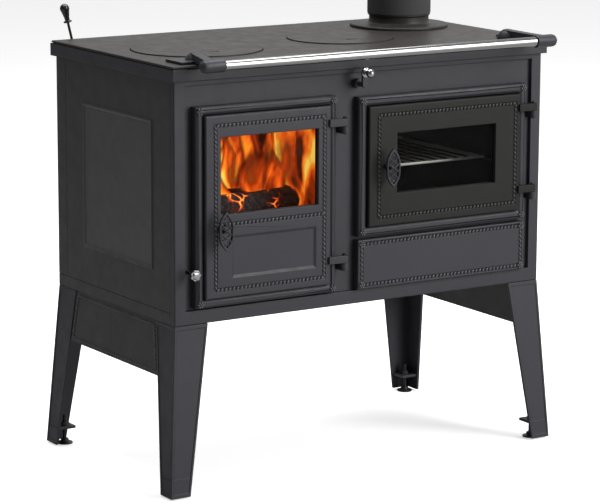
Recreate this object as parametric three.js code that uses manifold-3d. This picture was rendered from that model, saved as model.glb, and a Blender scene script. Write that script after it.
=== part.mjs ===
// Wood cookstove: a cast-iron range on four splayed legs. The left half is the firebox with a
// glazed door, the right half is the oven with a glazed door over a soot-cleaning cover.
// Millimetres, +Z up. The stove is laid out with X = 0 on its left side, Y = 0 on its front face
// (the front looks along -Y) and Z = 0 on the floor; the last lines centre it on the origin.
import * as THREE from 'three';
import { mergeVertices } from 'three/addons/utils/BufferGeometryUtils.js';
import Module from 'manifold-3d';

const wasm = await Module();
wasm.setup();

// ---------------------------------------------------------------- driving dimensions
const GAP = 0.3; // clearance left between pieces that touch
const RUNNING = 0.4; // radial clearance of a shaft or pin in its hole
const EDGE = 1.5; // small chamfer along a casting's outer edges
const OVERRUN = 1; // how far a cutting tool runs past the faces that it cuts

const BODY = { width: 877, depth: 482, bottom: 341, top: 820 };
const WALL = { side: 8, rear: 6, base: 6, front: 14, field: 8 }; // field: depth of the front's recess
const BASE_BAND = 24; // height of the base plate's rim, under the side panels
const REAR_BOX = 40; // depth of the rear panel's returned edges

const TOP = { left: 7, front: 10, rear: 7, height: 30, edge: 4, plate: 12, land: 14, groove: 3 };
const LID = { thickness: 9, ledge: 10, play: 1.2, proud: 2, bevel: 0.8 };
// lids: centre from the casing's left side and front; flue: from its right side and rear
const LARGE_LID = { x: 174, y: 210, radius: 132.5 };
const SMALL_LID = { x: 523, y: 221, radius: 110 };
const LIFT_SLOT = { length: 26, width: 9, depth: 5, inset: 66 }; // inset: from the lid's front edge
const FLUE = { right: 124, rear: 140, radius: 68, wall: 2, length: 232 };
const COLLAR = { flange: 37.5, thickness: 6, fit: 2, wall: 5, stop: 28, bead: 3, spigot: 27, fillet: 8 };

const BORDER = { side: 24.5, bottom: 27.5, top: 10 }; // flat border round the front's recessed field
const FIRE_TRIM = { left: 42, width: 323.5, bottom: 32, top: 51, moulding: 16.5 };
const OVEN_TRIM = { space: 53, right: 44, top: 58.5, moulding: 18.5 };
const SOOT_COVER = { bottom: 29.5, height: 101.5, space: 6, proud: 18, flange: 13, plate: 6, lip: 4 };
const TRIM_PROUD = 20; // how far a surround stands in front of the field
const ROSETTE = { radius: 4.5, proud: 1.2, segments: 8 }; // boss on each mitred corner
const DOOR = { play: 1.5, proud: 26, back: 4, plate: 6, rim: 12, seat: 13, chamfer: 2 };
const GASKET = { inset: 3, width: 8 };
const GROOVE = { width: 7.5, depth: 1.2 }; // channel that carries a row of beads
// middles of the bead rows, in from the edges of the piece
const FIRE_BEADS = { left: 22, right: 15.5, bottom: 17, top: 20, belowWindow: 19.5 };
const OVEN_BEADS = { left: 23.5, right: 13, bottom: 18, top: 19 };
const SOOT_BEADS = { left: 9, right: 9, bottom: 9, top: 9 };
const FIRE_WINDOW = { left: 35, right: 30, bottom: 165, top: 43.5 };
const FIRE_PANEL = { left: 59, right: 34, bottom: 38, height: 84, depth: 3, slope: 5 };
const OVEN_WINDOW = { left: 69, right: 63.5, bottom: 64, top: 57.5 };
const GLASS = { thickness: 4, lap: 10 };
const RETAINER = { beyond: 4, width: 14, thickness: 2.5, screw: 4, head: 2 };

const HINGE = { out: 32, forward: 18.5, eye: 8, pin: 3, arm: 15, lug: 15.5, head: 4.5, lap: 6, thin: 2.5 };
const FIRE_HINGE = { bottom: 42, top: 318 }; // underside of each arm above the door's lower edge
const OVEN_HINGE = { bottom: 37, top: 207 };
const HANDLE = { stem: 5, boss: 5, reach: 22, width: 32, height: 78, leaf: 6, rim: 3.4 };
const LATTICE = { rib: 2.4, spacing: 13, lean: 0.6, rows: 2, sunk: 1.2 }; // rows: ribs above the middle one
const TONGUE = { length: 26, width: 10, thickness: 5, behind: 1 };
const FIRE_PIVOT = { x: 31, z: 137 }; // handle spindle from the door's lower left corner
const OVEN_PIVOT = { x: 41, z: 121 };

const RAIL = { forward: 70, radius: 10, end: 70, rise: 5, bore: 8.5 };
const SLEEVE = { radius: 13, length: 52.5, socket: 30 };
const RAIL_FOOT = { x: 22, width: 44, y: 8, depth: 62, thickness: 5, dome: 22, domeHeight: 21 };
const RAIL_ARM = { half: 11, nearHeight: 12, farHeight: 18, nearRise: 3, farRise: 10 };

const LEG = { top: 75, bottom: 44, wall: 6, splay: 23, clear: 3, pad: 64, padThickness: 6 };
const LEG_PANEL = { rim: 5, depth: 1.2, end: 8 }; // sunk panel on each outer face of a leg
const LEG_SHELF = { z: 34, thickness: 6, nut: 7.5, nutHeight: 7 };
const FOOT = { radius: 17, thickness: 5, screw: 4, height: 62, collar: 8 };
const APRON = { height: 108, thickness: 5, inset: 2, flange: 28 };

const SIDE_FRAME = { front: 83, rear: 112, bottom: 99, top: 81, width: 9, proud: 2, slope: 2 };

const BRICK = { thickness: 30, height: 228, left: 30, front: 26, behind: 78, chamfer: 3 };
const ASH_BOX = { top: 171, plate: 12, wall: 8, floor: 6, left: 20, foot: 20, behind: 4 };
const GRATE = { front: 36, rear: 10, border: 14, slot: 12, bar: 13, thickness: 10, rebate: 8, play: 1 };
const ASH_PAN = { play: 6.5, height: 66, front: 60, rear: 19, wall: 2.5, taper: 6 };
const PAN_PULL = { reach: 10, width: 60, height: 18, below: 4, sheet: 3, joint: 4 };
const PARTITION = { thickness: 12, gap: 12, foot: 20, above: 12 };
const EAR = { thickness: 8, front: 40, rear: 42 }; // ears that carry the damper's spindle
const OVEN = { wall: 3, margin: 6, behind: 2, ledge: 13, ledgeHeight: 89, ledgeThickness: 4, ledgeFront: 12 };
const RACK = { play: 8, front: 90, rear: 17, frame: 3, wire: 2, wires: 12, sides: 5 };
const BAFFLE = { thickness: 6, front: 60, rear: 50 };

const CRANK = { hub: 10, hubLength: 14, shaft: 5, forward: 34, inner: 10 };
const CRANK_ARM = { length: 25, width: 10, thickness: 6 };
const CRANK_PLACE = { beyond: 56, below: 32 }; // right of the fire surround, under the casing's top
const CRANK_KNOB = { ball: 9, collar: 10, collarLength: 4, neck: 4.5, neckLength: 9 };
const FLAP = { halfHeight: 24, thickness: 4, rod: 4, play: 2, tail: 4 };
const AIR = { x: 30.5, up: 104, rod: 3, stand: 26, travel: 35 };
const AIR_KNOB = { radius: 11.5, lobes: 7, fluting: 1.1, length: 16, cap: 8.5, hub: 6 };
const AIR_SLIDE = { thickness: 3, play: 4, height: 60 };
const AIR_SLOT = { count: 3, length: 28, height: 32, first: 12, bar: 42 };
const LEVER = { x: 51, up: 8, behind: 18, tilt: -13.9, rod: 2.75, boss: 7, pin: 3, grip: 62 };
const SHUTTER = { drop: 62, radius: 25, stem: 8 };
const LEVER_KNOB = { ball: 10, neck: 5, length: 30, guard: 9, socket: 6 };
const BALL_STEPS = 9; // facets of a ball knob from pole to pole
const INLET = { bore: 20, outer: 25 };
const LEVER_BRACKET = { left: 2, right: 70, below: 4, above: 22, cheek: 5, rear: 30, stop: 34 };
const BOLT = { radius: 7, height: 5, x: 11, below: [37, 119] }; // below: from the casing's top

// ---------------------------------------------------------------- geometry helpers
// One closed, outward-facing body: vertices merged, collapsed triangles dropped.
function closed(geometry) {
  const plain = new THREE.BufferGeometry();
  plain.setAttribute('position', geometry.getAttribute('position').clone());
  if (geometry.index) plain.setIndex(geometry.index.clone());
  const merged = mergeVertices(plain, 1e-4);
  const place = merged.getAttribute('position');
  const corners = [new THREE.Vector3(), new THREE.Vector3(), new THREE.Vector3()];
  const faces = [];
  let volume = 0;
  for (let i = 0; i < merged.index.count; i += 3) {
    const face = [0, 1, 2].map((k) => merged.index.getX(i + k));
    if (new Set(face).size < 3) continue;
    faces.push(face);
    face.forEach((vertex, k) => corners[k].fromBufferAttribute(place, vertex));
    volume += corners[0].dot(corners[1].cross(corners[2]));
  }
  merged.setIndex(faces.flatMap(([a, b, c]) => (volume < 0 ? [a, c, b] : [a, b, c])));
  return merged;
}

function solid(geometry) {
  const body = closed(geometry);
  const vertProperties = Float32Array.from(body.getAttribute('position').array);
  const triVerts = Uint32Array.from(body.index.array);
  return new wasm.Manifold(new wasm.Mesh({ numProp: 3, vertProperties, triVerts }));
}

function geometryOf(manifold) {
  const mesh = manifold.getMesh();
  const geometry = new THREE.BufferGeometry();
  geometry.setAttribute('position', new THREE.Float32BufferAttribute(mesh.vertProperties, 3));
  geometry.setIndex(Array.from(mesh.triVerts));
  return geometry;
}

function join(...parts) {
  return geometryOf(parts.map(solid).reduce((whole, part) => whole.add(part)));
}

function cut(base, ...tools) {
  return geometryOf([base, ...tools].map(solid).reduce((whole, tool) => whole.subtract(tool)));
}

function box([x0, x1], [y0, y1], [z0, z1]) {
  const block = new THREE.BoxGeometry(x1 - x0, y1 - y0, z1 - z0);
  return block.translate((x0 + x1) / 2, (y0 + y1) / 2, (z0 + z1) / 2);
}

// Turns a form made along +Z, over the XY plane, so that it runs along the named axis instead.
const ALONG = {
  x: new THREE.Matrix4().set(0, 0, 1, 0, 1, 0, 0, 0, 0, 1, 0, 0, 0, 0, 0, 1),
  y: new THREE.Matrix4().set(1, 0, 0, 0, 0, 0, -1, 0, 0, 1, 0, 0, 0, 0, 0, 1),
  z: new THREE.Matrix4(),
};

// Extrudes a shape between two stations of an axis. The shape's plane is YZ for the X axis,
// XZ for the Y axis and XY for the Z axis.
function extrude(shape, axis, from, to, curveSegments = 8) {
  const settings = { depth: to - from, bevelEnabled: false, curveSegments };
  const form = new THREE.ExtrudeGeometry(shape, settings).applyMatrix4(ALONG[axis]);
  const shift = { x: [from, 0, 0], y: [0, to, 0], z: [0, 0, from] }[axis];
  return form.translate(...shift);
}

function outline(points) {
  return new THREE.Shape(points.map(([a, b]) => new THREE.Vector2(a, b)));
}

// Turns a profile of [radius, station] points about an axis through the given place.
function turned(profile, axis, [x, y, z], segments = 24) {
  const points = profile.map(([radius, station]) => new THREE.Vector2(radius, station));
  const form = new THREE.LatheGeometry(points, segments);
  if (axis === 'z') form.rotateX(Math.PI / 2);
  if (axis === 'x') form.rotateZ(-Math.PI / 2);
  return form.translate(x, y, z);
}

function rod(radius, axis, from, to, [x, y, z], segments = 16) {
  return turned([[0, from], [radius, from], [radius, to], [0, to]], axis, [x, y, z], segments);
}

// A stack of rectangles in the XZ plane, each inset from the first and set at its own Y, skinned
// into one body. A looped stack closes on itself like a picture frame with mitred corners.
function stack(rect, profile, looped = false) {
  const vertices = profile.flatMap(([inset, y]) => [
    [rect.x0 + inset, y, rect.z0 + inset],
    [rect.x1 - inset, y, rect.z0 + inset],
    [rect.x1 - inset, y, rect.z1 - inset],
    [rect.x0 + inset, y, rect.z1 - inset],
  ]);
  const faces = [];
  const rings = profile.length;
  for (let ring = 0; ring < (looped ? rings : rings - 1); ring += 1) {
    for (let side = 0; side < 4; side += 1) {
      const a = ring * 4 + side;
      const b = ring * 4 + ((side + 1) % 4);
      const c = ((ring + 1) % rings) * 4 + ((side + 1) % 4);
      const d = ((ring + 1) % rings) * 4 + side;
      faces.push(a, b, c, a, c, d);
    }
  }
  if (!looped) {
    const last = (rings - 1) * 4;
    faces.push(0, 2, 1, 0, 3, 2, last, last + 1, last + 2, last, last + 2, last + 3);
  }
  const geometry = new THREE.BufferGeometry();
  geometry.setAttribute('position', new THREE.Float32BufferAttribute(vertices.flat(), 3));
  geometry.setIndex(faces);
  return geometry;
}

// The same stack lying flat: the rectangle is in the XY plane and the profile holds [inset, z].
function flatStack({ x0, x1, y0, y1 }, profile, looped = false) {
  const upright = stack({ x0, x1, z0: y0, z1: y1 }, profile.map(([inset, z]) => [inset, -z]), looped);
  return upright.rotateX(-Math.PI / 2);
}

// Skins two outlines with the same number of [x, y, z] points into a tapered body.
function loft(first, second) {
  const plan = first.map(([x, y]) => new THREE.Vector2(x, y));
  const clockwise = THREE.ShapeUtils.isClockWise(plan);
  const [lower, upper] = [first, second].map((ring) => (clockwise ? [...ring].reverse() : ring));
  const count = lower.length;
  const flat = lower.map(([x, y]) => new THREE.Vector2(x, y));
  const caps = THREE.ShapeUtils.triangulateShape(flat, []);
  const faces = caps.flatMap(([a, b, c]) => [a, c, b, a + count, b + count, c + count]);
  for (let i = 0; i < count; i += 1) {
    const next = (i + 1) % count;
    faces.push(i, next, next + count, i, next + count, i + count);
  }
  const geometry = new THREE.BufferGeometry();
  const vertices = [...lower, ...upper].flat();
  geometry.setAttribute('position', new THREE.Float32BufferAttribute(vertices, 3));
  geometry.setIndex(faces);
  return geometry;
}

function inset(rect, by) {
  return { x0: rect.x0 + by, x1: rect.x1 - by, z0: rect.z0 + by, z1: rect.z1 - by };
}

function slab(rect, y0, y1) {
  return box([rect.x0, rect.x1], [y0, y1], [rect.z0, rect.z1]);
}

function hexagon(radius, axis, from, to, [x, y, z]) {
  return rod(radius, axis, from, to, [x, y, z], 6);
}

function mirrored(geometry, about = BODY.width / 2) {
  return geometry.clone().scale(-1, 1, 1).translate(2 * about, 0, 0);
}

// ---------------------------------------------------------------- shared layout
const FACE = WALL.field; // Y of the front's recessed field
const TRIM_FRONT = FACE - TRIM_PROUD;
const DOOR_FRONT = FACE - DOOR.proud;
const SEAT = FACE - GAP; // Y where a piece bolted on the field ends

const fireTrim = {
  x0: FIRE_TRIM.left,
  x1: FIRE_TRIM.left + FIRE_TRIM.width,
  z0: BODY.bottom + FIRE_TRIM.bottom,
  z1: BODY.top - FIRE_TRIM.top,
};
const sootCover = {
  x0: fireTrim.x1 + OVEN_TRIM.space,
  x1: BODY.width - OVEN_TRIM.right,
  z0: BODY.bottom + SOOT_COVER.bottom,
  z1: BODY.bottom + SOOT_COVER.bottom + SOOT_COVER.height,
};
const ovenTrim = {
  x0: sootCover.x0,
  x1: sootCover.x1,
  z0: sootCover.z1 + SOOT_COVER.space,
  z1: BODY.top - OVEN_TRIM.top,
};
const fireDoor = inset(fireTrim, FIRE_TRIM.moulding + DOOR.play);
const ovenDoor = inset(ovenTrim, OVEN_TRIM.moulding + DOOR.play);
const fireOpening = inset(fireDoor, DOOR.seat);
const ovenOpening = inset(ovenDoor, DOOR.seat);
const sootOpening = inset(sootCover, SOOT_COVER.flange);
const windowIn = (door, w) => ({
  x0: door.x0 + w.left,
  x1: door.x1 - w.right,
  z0: door.z0 + w.bottom,
  z1: door.z1 - w.top,
});
const fireWindow = windowIn(fireDoor, FIRE_WINDOW);
const ovenWindow = windowIn(ovenDoor, OVEN_WINDOW);
const hingeAxis = (door) => ({ x: door.x1 + HINGE.out, y: -HINGE.forward });
const crankAxis = { x: fireTrim.x1 + CRANK_PLACE.beyond, z: BODY.top - CRANK_PLACE.below };
const topOuter = {
  x0: -TOP.left,
  x1: BODY.width + TOP.left,
  y0: -TOP.front,
  y1: BODY.depth + TOP.rear,
};
const COOKTOP = BODY.top + TOP.height;
const airZ = BODY.bottom + AIR.up;
const LID_TOP = COOKTOP + LID.proud;
const flueAxis = { x: BODY.width - FLUE.right, y: BODY.depth - FLUE.rear };
const collarNeck = FLUE.radius - FLUE.wall - COLLAR.fit;
const collarBore = collarNeck - COLLAR.wall;
const panelRear = BODY.depth - REAR_BOX; // where the side panels end and the rear panel begins
const insideRear = BODY.depth - WALL.rear;
const floorTop = BODY.bottom + WALL.base;

// ---------------------------------------------------------------- casing
function basePlate() {
  const outer = [GAP + WALL.front, BODY.depth];
  const tray = box([0, BODY.width], outer, [BODY.bottom, BODY.bottom + BASE_BAND]);
  const well = box(
    [WALL.side, BODY.width - WALL.side],
    [outer[0] + WALL.side, BODY.depth - WALL.side],
    [floorTop, BODY.bottom + BASE_BAND + OVERRUN],
  );
  return cut(tray, well);
}

function sidePanel() {
  const height = [BODY.bottom + BASE_BAND + GAP, BODY.top];
  const plate = box([0, WALL.side], [WALL.front + GAP, panelRear], height);
  const strip = {
    x0: SIDE_FRAME.front,
    x1: BODY.depth - SIDE_FRAME.rear,
    z0: BODY.bottom + SIDE_FRAME.bottom,
    z1: BODY.top - SIDE_FRAME.top,
  };
  const { width, proud, slope } = SIDE_FRAME;
  const moulding = stack(strip, [
    [0, 1], [0, 0], [slope, -proud], [width - slope, -proud], [width, 0], [width, 1],
  ], true);
  // the strip is drawn in the XZ plane and turned to face left
  return join(plate, moulding.rotateZ(-Math.PI / 2).scale(1, -1, 1));
}

const shutterAngle = THREE.MathUtils.degToRad(LEVER.tilt);
const leverPivot = { x: LEVER.x, y: BODY.depth + LEVER.behind, z: BODY.top + LEVER.up };
const inletPlace = {
  x: leverPivot.x - SHUTTER.drop * Math.sin(shutterAngle),
  z: leverPivot.z - SHUTTER.drop * Math.cos(shutterAngle),
};
const shutterFace = leverPivot.y - LEVER.rod - GAP; // where the inlet's spigot meets the shutter

function rearPanel() {
  const height = [BODY.bottom + BASE_BAND + GAP, BODY.top];
  const shell = cut(
    box([0, BODY.width], [panelRear + GAP, BODY.depth], height),
    box(
      [WALL.side, BODY.width - WALL.side],
      [panelRear, insideRear],
      [height[0] + WALL.side, height[1] - WALL.side],
    ),
  );
  const place = [inletPlace.x, 0, inletPlace.z];
  const spigot = rod(INLET.outer, 'y', insideRear + 1, shutterFace, place, 20);
  const bore = rod(INLET.bore, 'y', insideRear - 1, shutterFace + 1, place, 20);
  const heads = BOLT.below.flatMap((drop) => [BOLT.x, BODY.width - BOLT.x].map((x) => (
    hexagon(BOLT.radius, 'y', BODY.depth - 1, BODY.depth + BOLT.height, [x, 0, BODY.top - drop]))));
  return cut(join(shell, spigot, ...heads), bore);
}

// Hinge lug: grows out of the field and ends in a round eye; its arm on the door sits on top.
function hingeOutline(axis, root, forward) {
  const shape = new THREE.Shape();
  shape.moveTo(axis.x - HINGE.eye, root);
  shape.lineTo(axis.x - HINGE.eye, forward);
  shape.absarc(axis.x, forward, HINGE.eye, Math.PI, 2 * Math.PI, false);
  shape.lineTo(axis.x + HINGE.eye, root);
  return shape;
}

function hingeHole(axis, z0, z1) {
  return rod(HINGE.pin + RUNNING, 'z', z0 - OVERRUN, z1 + OVERRUN, [axis.x, axis.y, 0], 16);
}

function hingeLug(axis, armBottom) {
  const z1 = armBottom - GAP;
  const lug = extrude(hingeOutline(axis, FACE + 2, axis.y), 'z', z1 - HINGE.lug, z1, 10);
  return cut(lug, hingeHole(axis, z1 - HINGE.lug, z1));
}

function hingeHeights(door, hinge) {
  return [door.z0 + hinge.bottom, door.z0 + hinge.top];
}

function doorCatch() {
  // the oven's opening lies inside its liner, so the tongue gets a lug to close behind
  const z = ovenDoor.z0 + OVEN_PIVOT.z;
  const reach = ovenDoor.x0 + OVEN_PIVOT.x - TONGUE.length + TONGUE.width * 0.8;
  return box([ovenOpening.x0 - 2, reach], [FACE + 1, WALL.front], [z - TONGUE.width, z + TONGUE.width]);
}

function frontFrame() {
  const face = { x0: 0, x1: BODY.width, z0: BODY.bottom, z1: BODY.top };
  const plate = stack(face, [[0, WALL.front], [0, EDGE], [EDGE, 0]]);
  const field = {
    x0: BORDER.side,
    x1: BODY.width - BORDER.side,
    z0: BODY.bottom + BORDER.bottom,
    z1: BODY.top - BORDER.top,
  };
  const recess = stack(field, [[-1, -1], [0, 0], [1, FACE]]);
  const through = [-OVERRUN, WALL.front + OVERRUN];
  const openings = [fireOpening, ovenOpening, sootOpening].map((rect) => slab(rect, ...through));
  const crankHole = rod(CRANK.shaft + RUNNING, 'y', ...through, [crankAxis.x, 0, crankAxis.z]);
  const airHole = rod(AIR.rod + RUNNING, 'y', ...through, [AIR.x, 0, airZ]);
  const lugs = [
    ...hingeHeights(fireDoor, FIRE_HINGE).map((z) => hingeLug(hingeAxis(fireDoor), z)),
    ...hingeHeights(ovenDoor, OVEN_HINGE).map((z) => hingeLug(hingeAxis(ovenDoor), z)),
  ];
  return join(cut(plate, recess, ...openings, crankHole, airHole), ...lugs, doorCatch());
}

// Low round bosses where the corners of a rectangle, given by its four sides, meet.
function rosettes({ x0, x1, z0, z1 }, front) {
  const { radius, proud, segments } = ROSETTE;
  const profile = [[0, front + 1], [radius, front + 1], [radius * 0.6, front - proud], [0, front - proud]];
  return [x0, x1].flatMap((x) => [z0, z1].map((z) => turned(profile, 'y', [x, 0, z], segments)));
}

function surround(rect, width) {
  const profile = [
    [0, SEAT], [0, TRIM_FRONT + 5], [2, TRIM_FRONT + 2], [4.5, TRIM_FRONT + 1], [6, TRIM_FRONT],
    [width - 5, TRIM_FRONT], [width - 3, TRIM_FRONT + 1.5], [width, TRIM_FRONT + 3], [width, SEAT],
  ];
  const middle = inset(rect, (width + 1) / 2);
  return join(stack(rect, profile, true), ...rosettes(middle, TRIM_FRONT));
}

function topFrame() {
  const top = COOKTOP - TOP.edge - GAP;
  const wall = TOP.land - GAP;
  return flatStack(topOuter, [
    [0, BODY.top + GAP], [0, top - TOP.groove], [TOP.groove, top], [wall, top], [wall, BODY.top + GAP],
  ], true);
}

const LID_SEGMENTS = 40;
const FLUE_SEGMENTS = 24;

function lidSeat(lid) {
  const ledge = LID_TOP - LID.thickness;
  const place = [lid.x, lid.y, 0];
  const below = COOKTOP - TOP.plate - OVERRUN;
  return [
    rod(lid.radius + LID.play, 'z', ledge, COOKTOP + OVERRUN, place, LID_SEGMENTS),
    rod(lid.radius - LID.ledge, 'z', below, ledge + OVERRUN, place, LID_SEGMENTS),
  ];
}

function cooktopPlate() {
  const lower = COOKTOP - TOP.edge;
  const plate = flatStack(topOuter, [
    [TOP.land, COOKTOP - TOP.plate], [TOP.land, lower], [0, lower], [0, COOKTOP - 1.2], [1.2, COOKTOP],
  ]);
  const through = [COOKTOP - TOP.plate - OVERRUN, COOKTOP + OVERRUN];
  const flueHole = rod(collarBore, 'z', ...through, [flueAxis.x, flueAxis.y, 0], FLUE_SEGMENTS);
  return cut(plate, ...lidSeat(LARGE_LID), ...lidSeat(SMALL_LID), flueHole);
}

// A lid drops into its seat and stands a little proud of the hob, so that pots bear on it; a
// blind slot near its front takes the lifting hook.
function lid(place) {
  const bottom = LID_TOP - LID.thickness + GAP;
  const rim = LID_TOP - LID.bevel;
  const disc = turned([
    [0, bottom], [place.radius, bottom], [place.radius, rim], [place.radius - LID.bevel, LID_TOP],
    [0, LID_TOP],
  ], 'z', [place.x, place.y, 0], LID_SEGMENTS);
  const half = LIFT_SLOT.length / 2 - LIFT_SLOT.width / 2;
  const slotY = place.y - place.radius + LIFT_SLOT.inset;
  const slot = new THREE.Shape();
  slot.absarc(place.x + half, slotY, LIFT_SLOT.width / 2, -Math.PI / 2, Math.PI / 2, false);
  slot.absarc(place.x - half, slotY, LIFT_SLOT.width / 2, Math.PI / 2, 1.5 * Math.PI, false);
  return cut(disc, extrude(slot, 'z', LID_TOP - LIFT_SLOT.depth, LID_TOP + OVERRUN, 6));
}

function flueCollar() {
  const z = COOKTOP + GAP;
  const { thickness, stop, spigot, fillet } = COLLAR;
  const flange = FLUE.radius + COLLAR.flange;
  const bead = collarNeck + COLLAR.bead;
  const top = z + thickness;
  return turned([
    [collarBore, z], [flange, z], [flange, top - 2], [flange - 2, top],
    [collarNeck + fillet, top], [collarNeck + 2, top + 3], [collarNeck, top + fillet],
    [collarNeck, z + stop - 5], [bead, z + stop - 3], [bead, z + stop], [collarNeck, z + stop],
    [collarNeck, z + stop + spigot], [collarBore, z + stop + spigot], [collarBore, z],
  ], 'z', [flueAxis.x, flueAxis.y, 0], FLUE_SEGMENTS);
}

function fluePipe() {
  const z = COOKTOP + COLLAR.stop + 2 * GAP;
  const inner = FLUE.radius - FLUE.wall;
  return turned([
    [inner, z], [FLUE.radius, z], [FLUE.radius, z + FLUE.length], [inner, z + FLUE.length], [inner, z],
  ], 'z', [flueAxis.x, flueAxis.y, 0], FLUE_SEGMENTS);
}

// ---------------------------------------------------------------- towel rail
const railY = -RAIL.forward;
const railZ = COOKTOP + RAIL.rise;
const RAIL_SEGMENTS = 16;

function towelRail() {
  const buried = SLEEVE.socket - GAP;
  const from = RAIL.end - buried;
  const to = BODY.width - RAIL.end + buried;
  return turned([
    [RAIL.bore, from], [RAIL.radius, from], [RAIL.radius, to], [RAIL.bore, to], [RAIL.bore, from],
  ], 'x', [0, railY, railZ], RAIL_SEGMENTS);
}

// Cast bracket: a foot and a dome on the cooktop's corner, an arm over the edge and a sleeve.
function railBracket() {
  const start = RAIL.end - SLEEVE.length;
  const sleeve = turned([
    [0, start], [SLEEVE.radius * 0.55, start + 1.5], [SLEEVE.radius * 0.9, start + 6],
    [SLEEVE.radius, start + SLEEVE.radius], [SLEEVE.radius, RAIL.end - EDGE],
    [SLEEVE.radius - EDGE, RAIL.end], [0, RAIL.end],
  ], 'x', [0, railY, railZ], RAIL_SEGMENTS);
  const socketEnds = [RAIL.end - SLEEVE.socket, RAIL.end + 1];
  const socket = rod(RAIL.radius + GAP, 'x', ...socketEnds, [0, railY, railZ], RAIL_SEGMENTS);
  const seat = COOKTOP + GAP;
  const foot = box(
    [RAIL_FOOT.x, RAIL_FOOT.x + RAIL_FOOT.width],
    [RAIL_FOOT.y, RAIL_FOOT.y + RAIL_FOOT.depth],
    [seat, seat + RAIL_FOOT.thickness],
  );
  const domeX = RAIL_FOOT.x + RAIL_FOOT.width;
  const domeY = RAIL_FOOT.y + RAIL_FOOT.dome;
  const domeProfile = [[0, 0], [RAIL_FOOT.dome, 0]];
  const domeSteps = 4;
  for (let step = 1; step < domeSteps; step += 1) {
    const angle = (step / domeSteps) * (Math.PI / 2);
    domeProfile.push([RAIL_FOOT.dome * Math.cos(angle), RAIL_FOOT.domeHeight * Math.sin(angle)]);
  }
  domeProfile.push([0, RAIL_FOOT.domeHeight]);
  const dome = turned(domeProfile, 'z', [domeX, domeY, seat], 16);
  // the arm is skinned upright, then laid along Y from the sleeve back to the dome
  const armX = start + SLEEVE.length / 2;
  const section = (x, y, z, height) => [
    [x - RAIL_ARM.half, z - height / 2, -y], [x + RAIL_ARM.half, z - height / 2, -y],
    [x + RAIL_ARM.half, z + height / 2, -y], [x - RAIL_ARM.half, z + height / 2, -y],
  ];
  const arm = loft(
    section(domeX, domeY, seat + RAIL_ARM.farRise, RAIL_ARM.farHeight),
    section(armX, railY, railZ + RAIL_ARM.nearRise, RAIL_ARM.nearHeight),
  ).applyMatrix4(ALONG.y);
  return cut(join(sleeve, foot, dome, arm), socket);
}

// ---------------------------------------------------------------- legs, feet and aprons
const legTop = BODY.bottom - GAP;

// Width of a leg's plates and the outward lean of its corner, at a height.
function legAt(z) {
  const drop = (legTop - z) / (legTop - LEG.clear);
  return { lean: LEG.splay * drop, width: LEG.top + (LEG.bottom - LEG.top) * drop };
}

// The front left leg: an angle section whose corner leans out and whose plates narrow downwards.
function leg() {
  const section = (z) => {
    const { lean, width } = legAt(z);
    const t = LEG.wall;
    const plan = [[0, 0], [width, 0], [width, t], [t, t], [t, width], [0, width]];
    return plan.map(([x, y]) => [x - lean, y - lean, z]);
  };
  const angle = loft(section(LEG.clear), section(legTop));
  const sunk = (z, flip) => {
    const { lean, width } = legAt(z);
    const plan = [
      [LEG_PANEL.rim, -1], [width - LEG_PANEL.rim, -1],
      [width - LEG_PANEL.rim, LEG_PANEL.depth], [LEG_PANEL.rim, LEG_PANEL.depth],
    ];
    return plan.map(([a, b]) => (flip ? [b - lean, a - lean, z] : [a - lean, b - lean, z]));
  };
  const ends = [LEG.clear + LEG_PANEL.end, legTop - LEG_PANEL.end];
  const panels = [false, true].map((flip) => loft(sunk(ends[0], flip), sunk(ends[1], flip)));
  const pad = box([1, LEG.pad], [1, LEG.pad], [legTop - LEG.padThickness, legTop]);
  const shelfZ = [LEG_SHELF.z, LEG_SHELF.z + LEG_SHELF.thickness];
  const { lean, width } = legAt(shelfZ[1]);
  const shelf = box([1 - lean, width - lean - 4], [1 - lean, width - lean - 4], shelfZ);
  const at = footPlace();
  const nut = hexagon(LEG_SHELF.nut, 'z', shelfZ[1] - 1, shelfZ[1] + LEG_SHELF.nutHeight, [at, at, 0]);
  const screwZ = [shelfZ[0] - 1, shelfZ[1] + LEG_SHELF.nutHeight + 1];
  const hole = rod(FOOT.screw + RUNNING, 'z', ...screwZ, [at, at, 0]);
  return cut(join(cut(angle, ...panels), pad, shelf, nut), hole);
}

// The levelling screw stands in the middle of the shelf, clear of both plates of the leg.
function footPlace() {
  const { lean, width } = legAt(LEG_SHELF.z);
  return -lean + LEG.wall + (width - LEG.wall) / 2;
}

function levellingFoot() {
  const at = footPlace();
  const { radius, thickness, screw, height, collar } = FOOT;
  return turned([
    [0, 0], [radius - 1, 0], [radius, 1], [radius, thickness - 1.5], [collar + 1, thickness],
    [collar, thickness + 6], [screw, thickness + 6], [screw, height - 1], [screw - 1, height], [0, height],
  ], 'z', [at, at, 0], 12);
}

// Side apron: a sloping plate that fills between two legs under the casing.
function sideApron() {
  const bottom = legTop - APRON.height;
  const edge = (z) => {
    const { lean, width } = legAt(z);
    return { x: APRON.inset - lean, front: width - lean + GAP, rear: BODY.depth - width + lean - GAP };
  };
  const ring = (z) => {
    const { x, front, rear } = edge(z);
    return [[x, front, z], [x + APRON.thickness, front, z], [x + APRON.thickness, rear, z], [x, rear, z]];
  };
  const plate = loft(ring(bottom), ring(legTop));
  const top = edge(legTop);
  const flange = box(
    [APRON.inset + 1, APRON.inset + APRON.flange],
    [top.front + 4, top.rear - 4],
    [legTop - APRON.thickness, legTop],
  );
  return join(plate, flange);
}

// ---------------------------------------------------------------- doors
// Middles of a piece's four bead rows.
function beadRect(rect, rows) {
  return {
    x0: rect.x0 + rows.left,
    x1: rect.x1 - rows.right,
    z0: rect.z0 + rows.bottom,
    z1: rect.z1 - rows.top,
  };
}

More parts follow.
